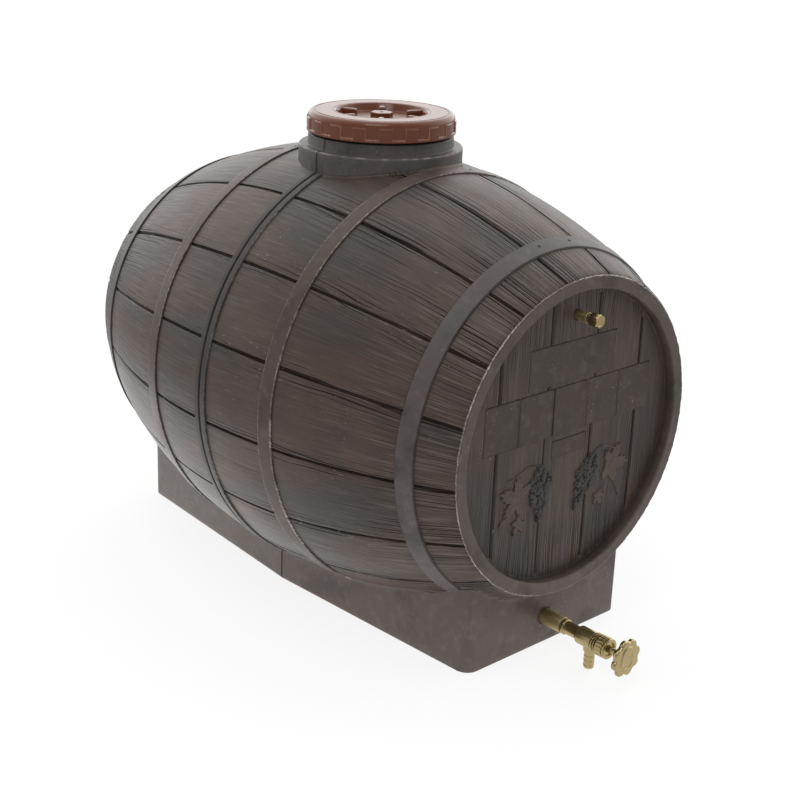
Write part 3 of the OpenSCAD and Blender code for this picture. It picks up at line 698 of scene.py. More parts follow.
def skin_mesh(sizes):
    """Staves, hoops, rims and the ground of both heads as a closed mesh."""
    joints = joint_angles(sizes)
    angles = skin_angles(sizes, joints)
    gap = np.min(np.abs(wrap(angles[:, None] - joints[None, :])), 1)
    stave = np.searchsorted(joints, angles)
    above_base = smoothstep(0.2, 0.3, math.pi - np.abs(angles))
    rings = []
    for y in skin_stations(sizes):
        base = float(skin_r(sizes, y))
        arc = angles * base
        groove = np.interp(gap * base / MM, [0.0, 0.7, 1.6, 2.4], [0.55, 1.0, 1.1, 0.0]) * sizes.joint_depth
        drift = 4 * MM * noise(arc / 0.05, y / 0.15 + stave * 9.1, 4)
        lines = noise((arc + drift) / STAVE_GRAIN + stave * 17.0, y / 0.35 + stave * 5.3, 3)
        strong = smoothstep(-0.25, 0.35, noise(arc / 0.06 + stave * 3.0, y / 0.14, 8))
        comb = smoothstep(0.30, 0.0, np.abs(lines)) * strong
        wave = 0.35 * MM * noise(arc / 0.06, y / 0.09, 5)
        wood = base - groove - sizes.grain_depth * comb + wave
        inside = max(width / 2 - abs(y - centre) for centre, width in hoop_list(sizes))
        lift = float(smoothstep(-0.1 * MM, 1.3 * MM, inside)) * above_base
        wobble = 0.12 * MM * noise(arc / 0.05, y / 0.02, 9)
        hoop = base + sizes.hoop_height + wobble
        rings.append(barrel_ring(sizes, y, wood * (1 - lift) + hoop * lift, angles))
    arc = angles * sizes.end_r
    ragged = 0.6 * MM * noise(arc / 0.0055, 0.0, 12) + 0.35 * MM * noise(arc / 0.0011, 0.0, 13)
    rim = rim_profile(sizes)
    front = [barrel_ring(sizes, -y, r + ragged * share, angles) for y, r, share in reversed(rim)]
    rear = [barrel_ring(sizes, y, r + ragged * share, angles) for y, r, share in rim]
    ground, axis = rim[-1][0], sizes.axis_height
    return rings_to_mesh([pole(-ground, axis)] + front + rings + rear + [pole(ground, axis)])


def height_field(x, z, height, keep, side, ground, sizes):
    """A closed block over the kept cells of a grid, its face at the given heights in front of a head."""
    cells = keep[:-1, :-1] & keep[1:, :-1] & keep[:-1, 1:] & keep[1:, 1:]
    used = np.zeros(x.shape, dtype=bool)
    for dz in (0, 1):
        for dx in (0, 1):
            used[dz:dz + cells.shape[0], dx:dx + cells.shape[1]] |= cells
    number = -np.ones(x.shape, dtype=int)
    count = int(used.sum())
    number[used] = np.arange(count)
    head_y = SHELL_HALF - sizes.head_depth
    up = sizes.axis_height + z[used]
    face = np.stack([x[used], side * (head_y + height[used]), up], 1)
    back = np.stack([x[used], np.full(count, side * (head_y + ground)), up], 1)
    j, i = np.nonzero(cells)
    quads = np.stack([number[j, i], number[j, i + 1], number[j + 1, i + 1], number[j + 1, i]], 1)
    edges = {(a, b) for q in quads.tolist() for a, b in zip(q, q[1:] + q[:1])}
    faces = quads.tolist() + (quads[:, ::-1] + count).tolist()
    faces += [(b, a, a + count, b + count) for a, b in sorted(edges) if (b, a) not in edges]
    return np.concatenate([face, back]), faces


def grid(x0, x1, z0, z1, step):
    """Points of a flat grid, given in metres from the barrel's axis."""
    return np.meshgrid(*(np.linspace(a, b, int((b - a) / step) + 1) for a, b in ((x0, x1), (z0, z1))))


def plate_masks(x, z, plate):
    """Which points lie on a plate, and which of them in its painted shadow line along the top and left edges.
    """
    left, right, low, high = plate
    inside = (x > left) & (x < right) & (z > low) & (z < high)
    return inside, (high - z < PLATE_SHADE_LINE) | (x - left < PLATE_SHADE_LINE)


def plank_height(sizes, x, z):
    """Heights of the planks over a head's ground, with their joints and grain."""
    plank = np.floor(x / sizes.plank_pitch + 0.5)
    drift = 2.5 * MM * noise(x / 0.05, z / 0.09 + plank * 3.7, 22)
    lines = noise((x + drift) / PLANK_GRAIN + plank * 13.0, z / 0.3 + plank * 3.1, 21)
    strong = smoothstep(-0.4, 0.4, noise(x / 0.04, z / 0.12 + plank * 7.7, 23))
    height = -0.25 * MM * smoothstep(0.35, 0.0, np.abs(lines)) * strong
    edge = np.abs(np.abs(x - plank * sizes.plank_pitch) - sizes.plank_pitch / 2)
    depth = np.interp(edge / MM, [0.0, 1.7, 2.9], [1.0, 1.0, 0.0])
    return height - sizes.joint_depth * depth * smoothstep(199 * MM, 195 * MM, np.hypot(x, z))


def head_relief(sizes, side):
    """A head's planks, and the front's sunk plates, as a block; side is -1 for the front, 1 for the rear."""
    reach = sizes.head_r + 3 * MM
    x, z = grid(-reach, reach, -reach, reach, 1.6 * MM)
    height = plank_height(sizes, x, z)
    uneven = 0.06 * MM * noise(x / 0.004, z / 0.004, 24)
    for plate in PLATES if side < 0 else ():
        left, right, low, high = plate
        inside, line = plate_masks(x, z, plate)
        fall = [np.clip((x - left) / (right - left), 0, 1), np.clip((high - z) / (high - low), 0, 1)]
        sink = sizes.plate_sink * (1 - (fall[0] * 0.35 + fall[1] * 0.35))
        height = np.where(inside, uneven - line * 0.8 * MM - sink, height)
    return height_field(x, z, height, np.hypot(x, z) <= reach, side, -sizes.head_back - MM, sizes)


def bunch(x, z, top, foot):
    """Heights of an uneven bunch of grapes that hangs from top and tapers to foot, in millimetres."""
    rows = [2, 4, 6, 7, 6, 6, 5, 5, 4, 3, 2, 1]
    first, last = np.array(top) * MM, np.array(foot) * MM
    height = np.full(x.shape, -3 * MM)
    for k, count in enumerate(rows):
        cx, cz = first + (last - first) * (k / (len(rows) - 1))
        for i in range(count):
            spot = np.array([k * 7.0 + 3.0]), np.array([i * 5.0 + top[0]])
            across, up, large, far = (noise(*spot, seed).item() for seed in (31, 32, 33, 34))
            u = x - (cx + (i - (count - 1) / 2) * 6.6 * MM + across * 2.0 * MM)
            v = (z - (cz + up * 2.4 * MM)) * 0.93
            size = (4.3 + 0.7 * large) * MM
            d = np.square(u) + np.square(v)
            dome = np.sqrt(np.maximum(size ** 2 - d, 0)) * 0.8 + (far - 0.3) * 0.9 * MM
            height = np.maximum(height, np.where(d < size ** 2, dome, -3 * MM))
    return height


def leaf(x, z, at, size, turn):
    """Heights of a lobed vine leaf with raised veins, its middle and size in millimetres."""
    u, v = x - at[0] * MM, z - at[1] * MM
    r, a = np.hypot(u, v), np.arctan2(v, u) - turn
    lobes = [(0.0, 1.0), (1.05, 0.86), (-1.05, 0.86), (2.1, 0.68), (-2.1, 0.68)]
    outline = np.full(x.shape, 0.30)
    vein = np.full(x.shape, 1.0)
    for angle, reach in lobes:
        off = wrap(a - angle)
        outline = np.maximum(outline, reach * np.clip(1 - np.abs(off) / 0.72, 0, 1) ** 0.55)
        vein = np.minimum(vein, np.where(np.cos(off) > 0, np.abs(np.sin(off)) * r / MM, 9.0))
    outline = outline * (1 + 0.07 * np.cos(a * 31.0)) * (size * MM)
    rise = np.clip((outline - r) / (2.2 * MM), 0, 1)
    cup = 0.5 + 0.5 * np.clip(r / outline, 0, 1) ** 2
    height = 1.9 * MM * cup * rise ** 0.6 + 0.9 * MM * np.clip(1 - vein / 1.5, 0, 1) * rise
    return np.where(r < outline, height, -2 * MM)


def tendril(x, z, start, reach, bend):
    """Heights of a thin curling stem, its start, reach and bend in millimetres."""
    thick = 1.3 * MM
    height = np.full(x.shape, -2 * MM)
    for t in np.linspace(0, 1, 60):
        cx = start[0] * MM + reach[0] * MM * t
        cz = start[1] * MM + reach[1] * MM * t + bend * MM * math.sin(t * math.pi * 1.6)
        d = np.hypot(x - cx, z - cz)
        ridge = np.sqrt(np.maximum(thick ** 2 - d * d, 0))
        height = np.maximum(height, np.where(d < thick, ridge, -2 * MM))
    return height


def ornament(sizes, left):
    """One bunch of grapes with its leaves and tendrils as a block in front of the front head."""
    x, z = grid(8 * MM, 132 * MM, -124 * MM, -26 * MM, 0.8 * MM)
    grapes, leaves, stems = ORNAMENTS[left]
    parts = [bunch(x, z, *grapes)]
    parts += [leaf(x, z, *one) for one in leaves] + [tendril(x, z, *one) for one in stems]
    height = np.maximum(np.maximum.reduce(parts), -2.2 * MM)
    if left:
        x, z, height = -x[:, ::-1], z[:, ::-1], height[:, ::-1]
    whole = np.ones(x.shape, dtype=bool)
    return height_field(x, z, height, whole, -1, -sizes.head_back - 0.5 * MM, sizes)


def fillet_columns(feet, normals, skin_z, radius, sign, steps=7):
    """Rings of a wall's flare onto the staves, from the wall outwards."""
    delta = 0.5 * MM
    near, level, far = (skin_z(feet + normals * d) for d in (radius - delta, radius, radius + delta))
    slope = (far - near) / (2 * delta) * sign
    centre = level * sign + radius * np.sqrt(1 + slope ** 2)
    end = np.arctan2(-1.0, slope) % (2 * math.pi)
    rows = []
    for k in range(steps + 1):
        phi = math.pi + (end - math.pi) * k / steps
        d = radius + radius * np.cos(phi)
        rows.append(flat_ring(feet + normals * d[:, None], (centre + radius * np.sin(phi)) * sign))
    return rows


def sunk_ring(ring, shrink, rise):
    """A ring drawn inwards and moved in height, so that its wall ends inside the staves."""
    return ring * [shrink, shrink, 1.0] + [0.0, 0.0, rise]


def base_quarter(sizes, corner, inset):
    """Points and outward normals from the middle of a side round one corner to the middle of an end."""
    a = np.array([sizes.base_mid - inset, 0.0])
    b = np.array([sizes.base_end - inset, sizes.base_half - inset])
    side = (b - a) / np.linalg.norm(b - a)
    n1, n2 = np.array([side[1], -side[0]]), np.array([0.0, 1.0])
    centre = np.linalg.inv(np.stack([n1, n2])) @ np.array([n1 @ b - corner, n2 @ b - corner])
    start, end = centre + n1 * corner, centre + n2 * corner
    along = np.concatenate([[0, 0.0022, 0.006], np.linspace(0.03, 1, 32)[:-1]])
    points = [a + (start - a) * t for t in along]
    points[0] = points[0] - n1 * 0.8 * MM
    normals = [n1] * len(points)
    for t in np.linspace(math.atan2(n1[1], n1[0]), math.pi / 2, 9):
        normals.append(np.array([math.cos(t), math.sin(t)]))
        points.append(centre + normals[-1] * corner)
    for t in np.linspace(0, 1, 20)[1:]:
        points.append(end * [1 - t, 1])
        normals.append(n2)
    return np.array(points), np.array(normals)


def base_ring(sizes, corner, inset=0.0):
    """Points and outward normals round the base; corner is the left front corner's radius."""
    plain = base_quarter(sizes, sizes.base_edge, inset)
    worn = base_quarter(sizes, corner, inset)
    flip = np.array([-1.0, 1.0])
    return [np.concatenate([a, (a * flip)[-2::-1], (-b)[1:], (a * -flip)[-2:0:-1]])
            for a, b in zip(plain, worn)]


def base_mesh(sizes):
    """The base as a closed mesh: rounded foot, upright walls, corners sharper above, flare to the staves."""
    sharp, inside = 3 * MM, SHELL_HALF - MM

    def below(p):
        """Height of the underside of the staves over points of the floor."""
        r = skin_r(sizes, np.clip(p[:, 1], -inside, inside))
        return sizes.axis_height - np.sqrt(np.square(r) - np.square(p[:, 0]))

    def corner_at(z):
        return sharp + (sizes.base_corner - sharp) * max(0.0, 1 - z / sizes.base_corner_top)

    rings = [pole(0.0, 0.0)]
    bevel = sizes.base_bevel
    for t in np.linspace(0, math.pi / 2, 4):
        ring, _ = base_ring(sizes, sizes.base_corner, bevel * (1 - math.sin(t)))
        rings.append(flat_ring(ring, bevel * (1 - math.cos(t))))
    top_ring, top_out = base_ring(sizes, corner_at(sizes.base_corner_top))
    flare = fillet_columns(top_ring, top_out, below, sizes.base_flare, -1)
    level = flare[0][:, 2]
    for t in np.linspace(0, 1, 13)[1:-1]:
        z = bevel + (level - bevel) * t
        ring = np.stack([base_ring(sizes, corner_at(zi))[0][i] for i, zi in enumerate(z)])
        rings.append(flat_ring(ring, z))
    return rings_to_mesh(rings + flare + [sunk_ring(flare[-1], 0.97, 12 * MM), pole(0.0, 0.25)])


def neck_mesh(sizes):
    """Collar, shoulder and neck as a closed mesh flaring onto the staves, without the thread."""
    angles = turns(240)
    out = np.column_stack([np.cos(angles), np.sin(angles)])

    def above(p):
        """Height of the top of the staves over points of the floor."""
        return sizes.axis_height + np.sqrt(np.square(skin_r(sizes, p[:, 1])) - np.square(p[:, 0]))

    flare = fillet_columns(sizes.collar_r * out, out, above, 4 * MM, 1)
    rings = [pole(0.0, 0.5), sunk_ring(flare[-1], 0.98, -8 * MM)] + flare[::-1]
    seam = 1 + 0.6 * MM / sizes.collar_r * (np.abs(np.sin(angles)) < 0.004)
    wall = [(sizes.collar_r, sizes.collar_z - 8 * MM), (sizes.collar_r, sizes.collar_z, 3.2 * MM),
            (sizes.shoulder_r + 0.6 * MM, sizes.collar_z, 1.5 * MM),
            (sizes.shoulder_r - 0.4 * MM, sizes.shoulder_z, 3.0 * MM),
            (sizes.neck_root, sizes.shoulder_z, 0.8 * MM), (sizes.neck_root, sizes.lip_z, 1.2 * MM),
            (0.0, sizes.lip_z)]
    rings += [flat_ring(r * out * seam[:, None], z) for r, z in soften(wall)[:-1]]
    return rings_to_mesh(rings + [pole(0.0, sizes.lip_z)])


def cavity_mesh(sizes):
    """The space inside the staves and the heads."""
    reach = SHELL_HALF - sizes.head_depth - sizes.wall
    angles = turns(160)
    rings = [barrel_ring(sizes, y, float(skin_r(sizes, y)) - sizes.wall, angles)
             for y in np.linspace(-reach, reach, 49)]
    return rings_to_mesh([pole(-reach, sizes.axis_height)] + rings + [pole(reach, sizes.axis_height)])


def base_hollow_mesh(sizes):
    """The space inside the base, which opens into the staves."""
    corner, low, high = 8 * MM, sizes.wall, 0.17
    ring, _ = base_ring(sizes, corner, sizes.wall)
    return rings_to_mesh([pole(0.0, low), flat_ring(ring, low), flat_ring(ring, high), pole(0.0, high)])


def dimple_mesh(sizes):
    """Round cutters for the small pits beside the top of every wide hoop."""
    size = 3.3
    arc = [(size * math.sin(t), -size * math.cos(t)) for t in np.linspace(0, math.pi, 11)]
    ball, quads = lathe([(r * MM, h * MM) for r, h in arc[:-1]] + [(0.0, size * MM)], turns(20))
    points, faces = [], []
    for at, spread in ((sizes.hoop_outer, 6.5), (sizes.hoop_inner, 9.3)):
        for y in (-at, at):
            far = float(skin_r(sizes, y)) + sizes.hoop_height + 1.7 * MM
            for turn in (math.radians(-spread), math.radians(spread)):
                faces += [tuple(i + len(points) for i in quad) for quad in quads]
                middle = [far * math.sin(turn), y, sizes.axis_height + far * math.cos(turn)]
                points += (ball + middle).tolist()
    return points, faces


def shell_places(items, field, sizes):
    """Places from the barrel's axis, their distance from it, off the staves and off a head, and if on one."""
    x, y, z = read_points(items, field)
    z = z - sizes.axis_height
    r = np.hypot(x, z)
    off = r - skin_r(sizes, np.clip(y, -SHELL_HALF, SHELL_HALF))
    lift = np.abs(y) - (SHELL_HALF - sizes.head_depth)
    on_head = (lift > -3.0 * MM) & (lift < 5 * MM) & (r < sizes.head_r - 1.2 * MM)
    return x, y, z, r, off, lift, on_head


def number_shell(mesh, sizes):
    """Gives every face of the shell its material by where it lies."""
    x, y, z, r, off, lift, on_head = shell_places(mesh.polygons, "center", sizes)
    kind = np.full(len(x), PLAIN)
    on_skin = (np.abs(off) < SKIN_REACH) & (np.abs(y) < SHELL_HALF - 2 * MM)
    kind[on_skin] = STAVE
    for at, width in hoop_list(sizes):
        near = np.abs(y - at) < width / 2 + 0.2 * MM
        kind[near & on_skin] = BAND if abs(abs(at) - sizes.hoop_inner) < MM else SATIN
    kind[on_head] = PLANK
    front = on_head & (y < 0)
    for plate in PLATES:
        kind[front & plate_masks(x, z, plate)[0]] = PLATE
    kind[front & (lift > 0.1 * MM) & (z < -28 * MM) & (r < 0.15)] = BAND
    neck = (z + sizes.axis_height > 0.61) & (np.hypot(x, y) < sizes.collar_r + 0.5 * MM)
    kind[neck & ~on_skin] = SATIN
    for middle in (np.interp(z, [-0.112, -0.04], [0.026, 0.052]), -0.05):
        kind[front & (lift > 0.3 * MM) & (np.abs(x - middle) < 22 * MM)] = GRAPE
    mesh.polygons.foreach_set("material_index", kind.astype(np.int32))


def paint_shell(mesh, sizes):
    """Dark joints and seams, painted shade in hollows and under the lid, and pale flash at the shell's
    points, from where they lie.
    """
    x, y, z, r, off, lift, on_head = shell_places(mesh.vertices, "co", sizes)
    top, reach, end = z + sizes.axis_height, np.hypot(x, y), np.abs(y)
    # Stave and plank joints: their own dark colour with painted shade in the grooves
    joint = smoothstep(0.7 * MM, 1.7 * MM, -off) * (off > -SKIN_REACH) * (end < SHELL_HALF - 3 * MM)
    joint = np.where(on_head, 0.9 * smoothstep(-0.9 * MM, -1.9 * MM, lift), joint)
    # Painted shadow along each plate's top and left edges, where the step would shade the plate
    for plate in PLATES:
        inside, line = plate_masks(x, z, plate)
        joint = np.where(on_head & (y < 0) & inside, 0.9 * line, joint)
    seam = (end < 1.2 * MM) & (r > 0.1) & ((z < -0.24) | (top > 0.6))
    joint = np.where(seam, 0.85, joint)
    # Painted shade along the foot of each hoop's edge, where it meets the staves
    for at, width in hoop_list(sizes):
        outside = np.abs(y - at) - width / 2
        foot = (np.abs(outside + 0.1 * MM) < 1.0 * MM) & (off > -SKIN_REACH) & (off < 1.9 * MM)
        joint = np.where(foot, np.maximum(joint, 0.55), joint)
    # Painted shade on each rim's inner wall above the head
    rim_wall_shade = (np.abs(r - sizes.head_r) < 1.5 * MM) & (lift > -4 * MM) & (lift < sizes.head_depth - 3 * MM)
    joint = np.where(rim_wall_shade, 0.6, joint)
    on_hoop = (off > MM) & (off < 3 * MM)
    middle = (end < sizes.hoop_width / 2 + MM) & on_hoop
    joint = np.where(middle, np.maximum(joint, 0.4), joint)
    # Painted shade on the shoulder and neck under the lid's edge
    shoulder = (top > sizes.collar_z + 2.5 * MM) & (reach > sizes.mouth_r + 2 * MM)
    joint = np.where(shoulder, np.maximum(joint, 0.3), joint)

    arc = np.arctan2(x, z) * r
    fray = smoothstep(-0.4, 0.6, noise(arc / 0.0011, np.sign(y) * 3.0, 41))
    patches = smoothstep(-0.4, 0.4, noise(arc / 0.05, np.sign(y) * 5.0, 42))
    ragged = (0.25 + 0.75 * fray) * (0.45 + 0.55 * patches)
    rim = (end > SHELL_HALF - 2.0 * MM) & (end < SHELL_HALF - 0.8 * MM) & (r > sizes.end_r - 3 * MM)
    wear = ragged * rim
    for at, strength in ((sizes.hoop_inner, 0.75), (0.0, 0.35)):
        edge = np.abs(np.abs(end - at) - sizes.hoop_width / 2 + 1.2 * MM) < 0.7 * MM
        wear = np.maximum(wear, strength * ragged * edge * on_hoop)
    collar = (np.abs(top - sizes.collar_z) < 2.2 * MM) & (reach > sizes.collar_r - 2.6 * MM)
    scuffs = smoothstep(0.0, 0.5, noise(np.arctan2(y, x) * 16.0, 0.0, 43))
    write_layers(mesh, joint=joint, wear=np.maximum(wear, 0.22 * collar * scuffs))


class BARREL_OT_shell(bpy.types.Operator):
    """Moulds the barrel in one skin: staves, hoops, heads, base, collar and threaded neck"""
    bl_idname = "barrel.shell"
    bl_label = "Barrel shell"

    def execute(self, context):
        sizes, colours = context.scene.barrel_sizes, context.scene.barrel_colours
        shell = mesh_object("barrel_shell_skin", *skin_mesh(sizes))
        combine(shell, "UNION", [("relief", head_relief(sizes, side)) for side in (-1, 1)])
        combine(shell, "UNION", [("ornament", ornament(sizes, left)) for left in (False, True)])
        combine(shell, "DIFFERENCE", [("dimples", dimple_mesh(sizes))])
        combine(shell, "UNION", [
            ("base", base_mesh(sizes)), ("neck", neck_mesh(sizes)),
            ("thread", thread(sizes.neck_root, sizes.neck_crest, sizes.neck_pitch,
                              sizes.shoulder_z + 1.2 * MM, sizes.lip_z - 1.5 * MM, 0.0))])
        combine(shell, "DIFFERENCE", [
            ("cavity", cavity_mesh(sizes)), ("base_hollow", base_hollow_mesh(sizes)),
            ("mouth", upright(sizes.mouth_r, 0.5, sizes.lip_z + 5 * MM)),
            ("collar_hollow", upright(sizes.collar_r - sizes.wall, 0.55, sizes.collar_z - sizes.wall))])
        # Bore and shallow seat of the tap's insert and of the vent's: place, radius and depth
        tap, vent = (-sizes.base_half, TAP_Z), (-SHELL_HALF + sizes.head_depth, VENT_Z)
        bores = ((tap, 11.8, 20.0), (tap, 13.4, 2.0), (vent, 6.25, 20.0), (vent, 7.4, 1.6))
        combine(shell, "DIFFERENCE", [("bore", along_front(r * MM, *place, -depth * MM, 20 * MM))
                                      for place, r, depth in bores])
        looks = {
            STAVE: polyethylene_wood("polyethylene_stave_grain", sizes, colours, True),
            PLANK: polyethylene_wood("polyethylene_plank_grain", sizes, colours, False),
            PLAIN: polyethylene_smooth("polyethylene_plain_moulded", colours.smooth, colours),
            SATIN: polyethylene_smooth("polyethylene_satin_moulded", colours.hoop, colours, 0.43),
            PLATE: polyethylene_smooth("polyethylene_plate_moulded", colours.plate, colours),
            GRAPE: polyethylene_smooth("polyethylene_relief_moulded", colours.grape, colours, 0.3),
            BAND: polyethylene_smooth("polyethylene_band_moulded", colours.band, colours)}
        finish_piece(shell, [looks[number] for number in sorted(looks)], "barrel", ["barrel_shell"])
        number_shell(shell.data, sizes)
        paint_shell(shell.data, sizes)
        return {"FINISHED"}


# Lid

# Grip pads round the lid, the angle of one with its gap, and half the angle of the pad alone
LID_PADS = 18
PAD_PITCH = 2 * math.pi / LID_PADS
PAD_HALF = 9.1 * MM / LID_R
# Radius inside the skirt, in millimetres, and height of the ledge below the pads
SKIRT_R = 101.2
LEDGE = 3.7 * MM


def off_pad(a):
    """Angle from the middle of the nearest pad."""
    return np.abs((a - PAD_PITCH * 0.1) % PAD_PITCH - PAD_PITCH / 2)


def lid_mesh():
    """The lid as a closed mesh without lugs, boss and thread, standing on its rest height."""
    half, gap = PAD_HALF, PAD_PITCH - PAD_HALF
    local = PAD_PITCH * 0.6 + np.concatenate([
        np.linspace(-half + 0.006, half - 0.006, 5), [half - 0.003, half, half + 0.003, half + 0.006],
        np.linspace(half + 0.02, gap - 0.02, 5), [gap - 0.006, gap - 0.003, gap]])
    angles = np.sort(np.concatenate([local + i * PAD_PITCH for i in range(LID_PADS)]))

    def reshape(r, h, a):
        """Sinks the gaps between the pads, above the ledge."""
        pocket = smoothstep(half - 0.004, half + 0.005, off_pad(a))
        wall = LID_R - 1.8 * MM * float(np.clip((h - LID_LOW.z - LEDGE) / (1.5 * MM), 0, 1))
        return r - pocket * max(r - wall, 0.0)

    top, outer = (LID_HIGH.z - LID_LOW.z) / MM, LID_R / MM
    corners = [
        (0.0, 18.0), (62.0, 18.0, 3.0), (67.0, top, 3.5), (69.8, top), (70.3, top - 0.7),
        (71.1, top - 0.7), (71.6, top), (95.4, top), (96.0, top - 0.9), (97.8, top - 0.9),
        (98.4, top), (106.2, top, 7.6), (106.2, 20.4, 0.3), (outer, 18.6, 0.3), (outer, 6.2),
        (outer, 5.2), (outer, 4.4), (outer, LEDGE / MM), (outer, 0.0, 1.2), (SKIRT_R, 0.0, 0.6),
        (SKIRT_R, 24.0, 1.0), (72.5, 24.0, 1.0), (71.0, 13.5, 2.0), (0.0, 13.5)]
    return lathe(profile_mm(corners, lift=LID_LOW.z), angles, reshape)


def paint_lid(mesh):
    """Painted shade in the ring grooves on the lid's top and painted highlights on the edges round its pads.
    """
    x, y, z = read_points(mesh.vertices, "co")
    r, a = np.hypot(x, y), np.arctan2(y, x)
    off, level, depth = off_pad(a), z - LID_LOW.z, LID_HIGH.z - z
    # Painted shade in the two ring grooves of the top
    groove = smoothstep(0.3 * MM, 0.6 * MM, depth) * (depth < MM) * (r > 69 * MM) * (r < 98.5 * MM)
    # Painted highlights, broken by noise, on the pads' side edges and the ledges below the gaps; on the shell
    # the same layer holds real pale flash and scuffs
    side = (np.abs(off - PAD_HALF) < 0.0045) & (level > 5 * MM) & (level < 18.7 * MM) & (r > LID_R - 2.5 * MM)
    ledge = (np.abs(level - 4.1 * MM) < 0.5 * MM) & (off > PAD_HALF) & (r > LID_R - 1.2 * MM)
    highlight_fade = 0.35 + 0.65 * smoothstep(-0.3, 0.5, noise(a * 40.0, z * 300.0, 44))
    write_layers(mesh, joint=0.85 * groove, wear=highlight_fade * (0.42 * side + 0.26 * ledge))


def rounded_box(name, low, high, ease, matrix=Matrix.Identity(4), segments=4):
    """A box with rounded edges as an object, placed by a matrix."""
    work = bmesh.new()
    bmesh.ops.create_cube(work, size=1.0)
    low, high = Vector(low), Vector(high)
    for v in work.verts:
        v.co = Vector([low[i] + (v.co[i] + 0.5) * (high[i] - low[i]) for i in range(3)])
    bmesh.ops.bevel(work, geom=work.edges[:] + work.verts[:], offset=ease, segments=segments, profile=0.5,
                    affect="EDGES")
    bmesh.ops.transform(work, matrix=matrix, verts=work.verts)
    mesh = bpy.data.meshes.new(name)
    work.to_mesh(mesh)
    work.free()
    return link(name, mesh)


class BARREL_OT_lid(bpy.types.Operator):
    """Moulds the screw lid with its pads, key lugs, hexagon boss and inner thread"""
    bl_idname = "barrel.lid"
    bl_label = "Lid"

    def execute(self, context):
        sizes, colours = context.scene.barrel_sizes, context.scene.barrel_colours
        lid = mesh_object("lid_screw_cap", *lid_mesh())
        floor = LID_LOW.z + 16 * MM
        low, high = (43 * MM, -4.6 * MM, floor), (67.2 * MM, 4.6 * MM, floor + 10.4 * MM)
        for i in range(6):
            turn = Matrix.Rotation(math.radians(48 + 60 * i), 4, "Z")
            boolean(lid, rounded_box("lug", low, high, 2.4 * MM, turn), "UNION")
        boss = profile_mm([(0.0, 16.0), (16.5, 16.0), (16.5, 26.6, 1.0), (3.6, 26.6, 0.5), (2.6, 25.4, 0.5),
                           (0.0, 25.4)], lift=LID_LOW.z)
        corner = math.cos(math.pi / 6)
        combine(lid, "UNION", [
            ("boss", lathe(boss, turns(96), lambda r, h, a: r / off_flat(a) * corner)),
            ("lid_thread", thread(SKIRT_R * MM, 98.6 * MM, sizes.neck_pitch, LID_LOW.z + 1.2 * MM,
                                  LID_LOW.z + 22 * MM, math.pi, inner=True))])
        finish_piece(lid, [polypropylene_lid("polypropylene_injection_moulded", colours)], "lid", ["lid"],
                     30.0)
        paint_lid(lid.data)
        return {"FINISHED"}


# Tap and vent

WHEEL_TURN = math.radians(9.0)
# Roughness of the two moulded-in sleeves, duller than the rest of the brass
SLEEVE_ROUGH = 0.45


def turned(name, corners, start, steps=96, reshape=None, loop=True):
    """A turned piece out of the front from (radius, station, rounding) corners in millimetres."""
    points, faces = lathe(profile_mm(corners, 4), turns(steps), reshape, loop)
    return mesh_object(name, outward(points, *start), faces)


def serrated(teeth, depth, first, last, least):
    """Grooves along a turned piece between two stations, on radii over the least one, in millimetres."""
    def reshape(r, h, a):
        if not first * MM <= h <= last * MM or r < least * MM:
            return np.full(len(a), r)
        return r - depth * MM * (0.5 + 0.5 * np.cos(teeth * a)) ** 4
    return reshape


def hexagonal(across_flats, first):
    """A hexagon past a station, in millimetres, its corners cut back where the profile is smaller."""
    def reshape(r, h, a):
        if h < first * MM:
            return np.full(len(a), r)
        return np.minimum(r, across_flats / 2 * MM / off_flat(a))
    return reshape


def stadium(a, half_width, half_length):
    """Radius at each angle of an upright outline with straight sides and round ends."""
    side, end = np.abs(np.cos(a)), np.abs(np.sin(a))
    middle = half_length - half_width
    cap = middle * end + np.sqrt(np.maximum(half_width ** 2 - np.square(middle * side), 0))
    flat = half_width / np.maximum(side, 1e-6)
    return np.where(flat * end <= middle, flat, cap)


def lobed(r, h, a, lobes=8, web=23.4, lobe=7.5, tip=27.0, inner=18.5):
    """A handwheel's outline with full lobes, and its raised middle with straight sides, in millimetres."""
    a = a + WHEEL_TURN
    if r < inner * MM and h > 149 * MM:
        return stadium(a, 12.0 * MM, 17.0 * MM) - (16 * MM - r)
    if r < inner * MM:
        return np.full(len(a), r)
    off = a % (2 * math.pi / lobes) - math.pi / lobes
    far = tip - lobe
    reach = far * np.cos(off) + np.sqrt(np.maximum(lobe ** 2 - np.square(far * np.sin(off)), 0))
    outline = np.maximum(np.where(far * np.abs(np.sin(off)) < lobe, reach, web), web) / tip
    return r * (1 + (outline - 1) * smoothstep(inner * MM, (tip - 4) * MM, r))


def shifted(points, faces, y):
    """A shape moved along the barrel."""
    return points + np.array([0, y, 0]), faces


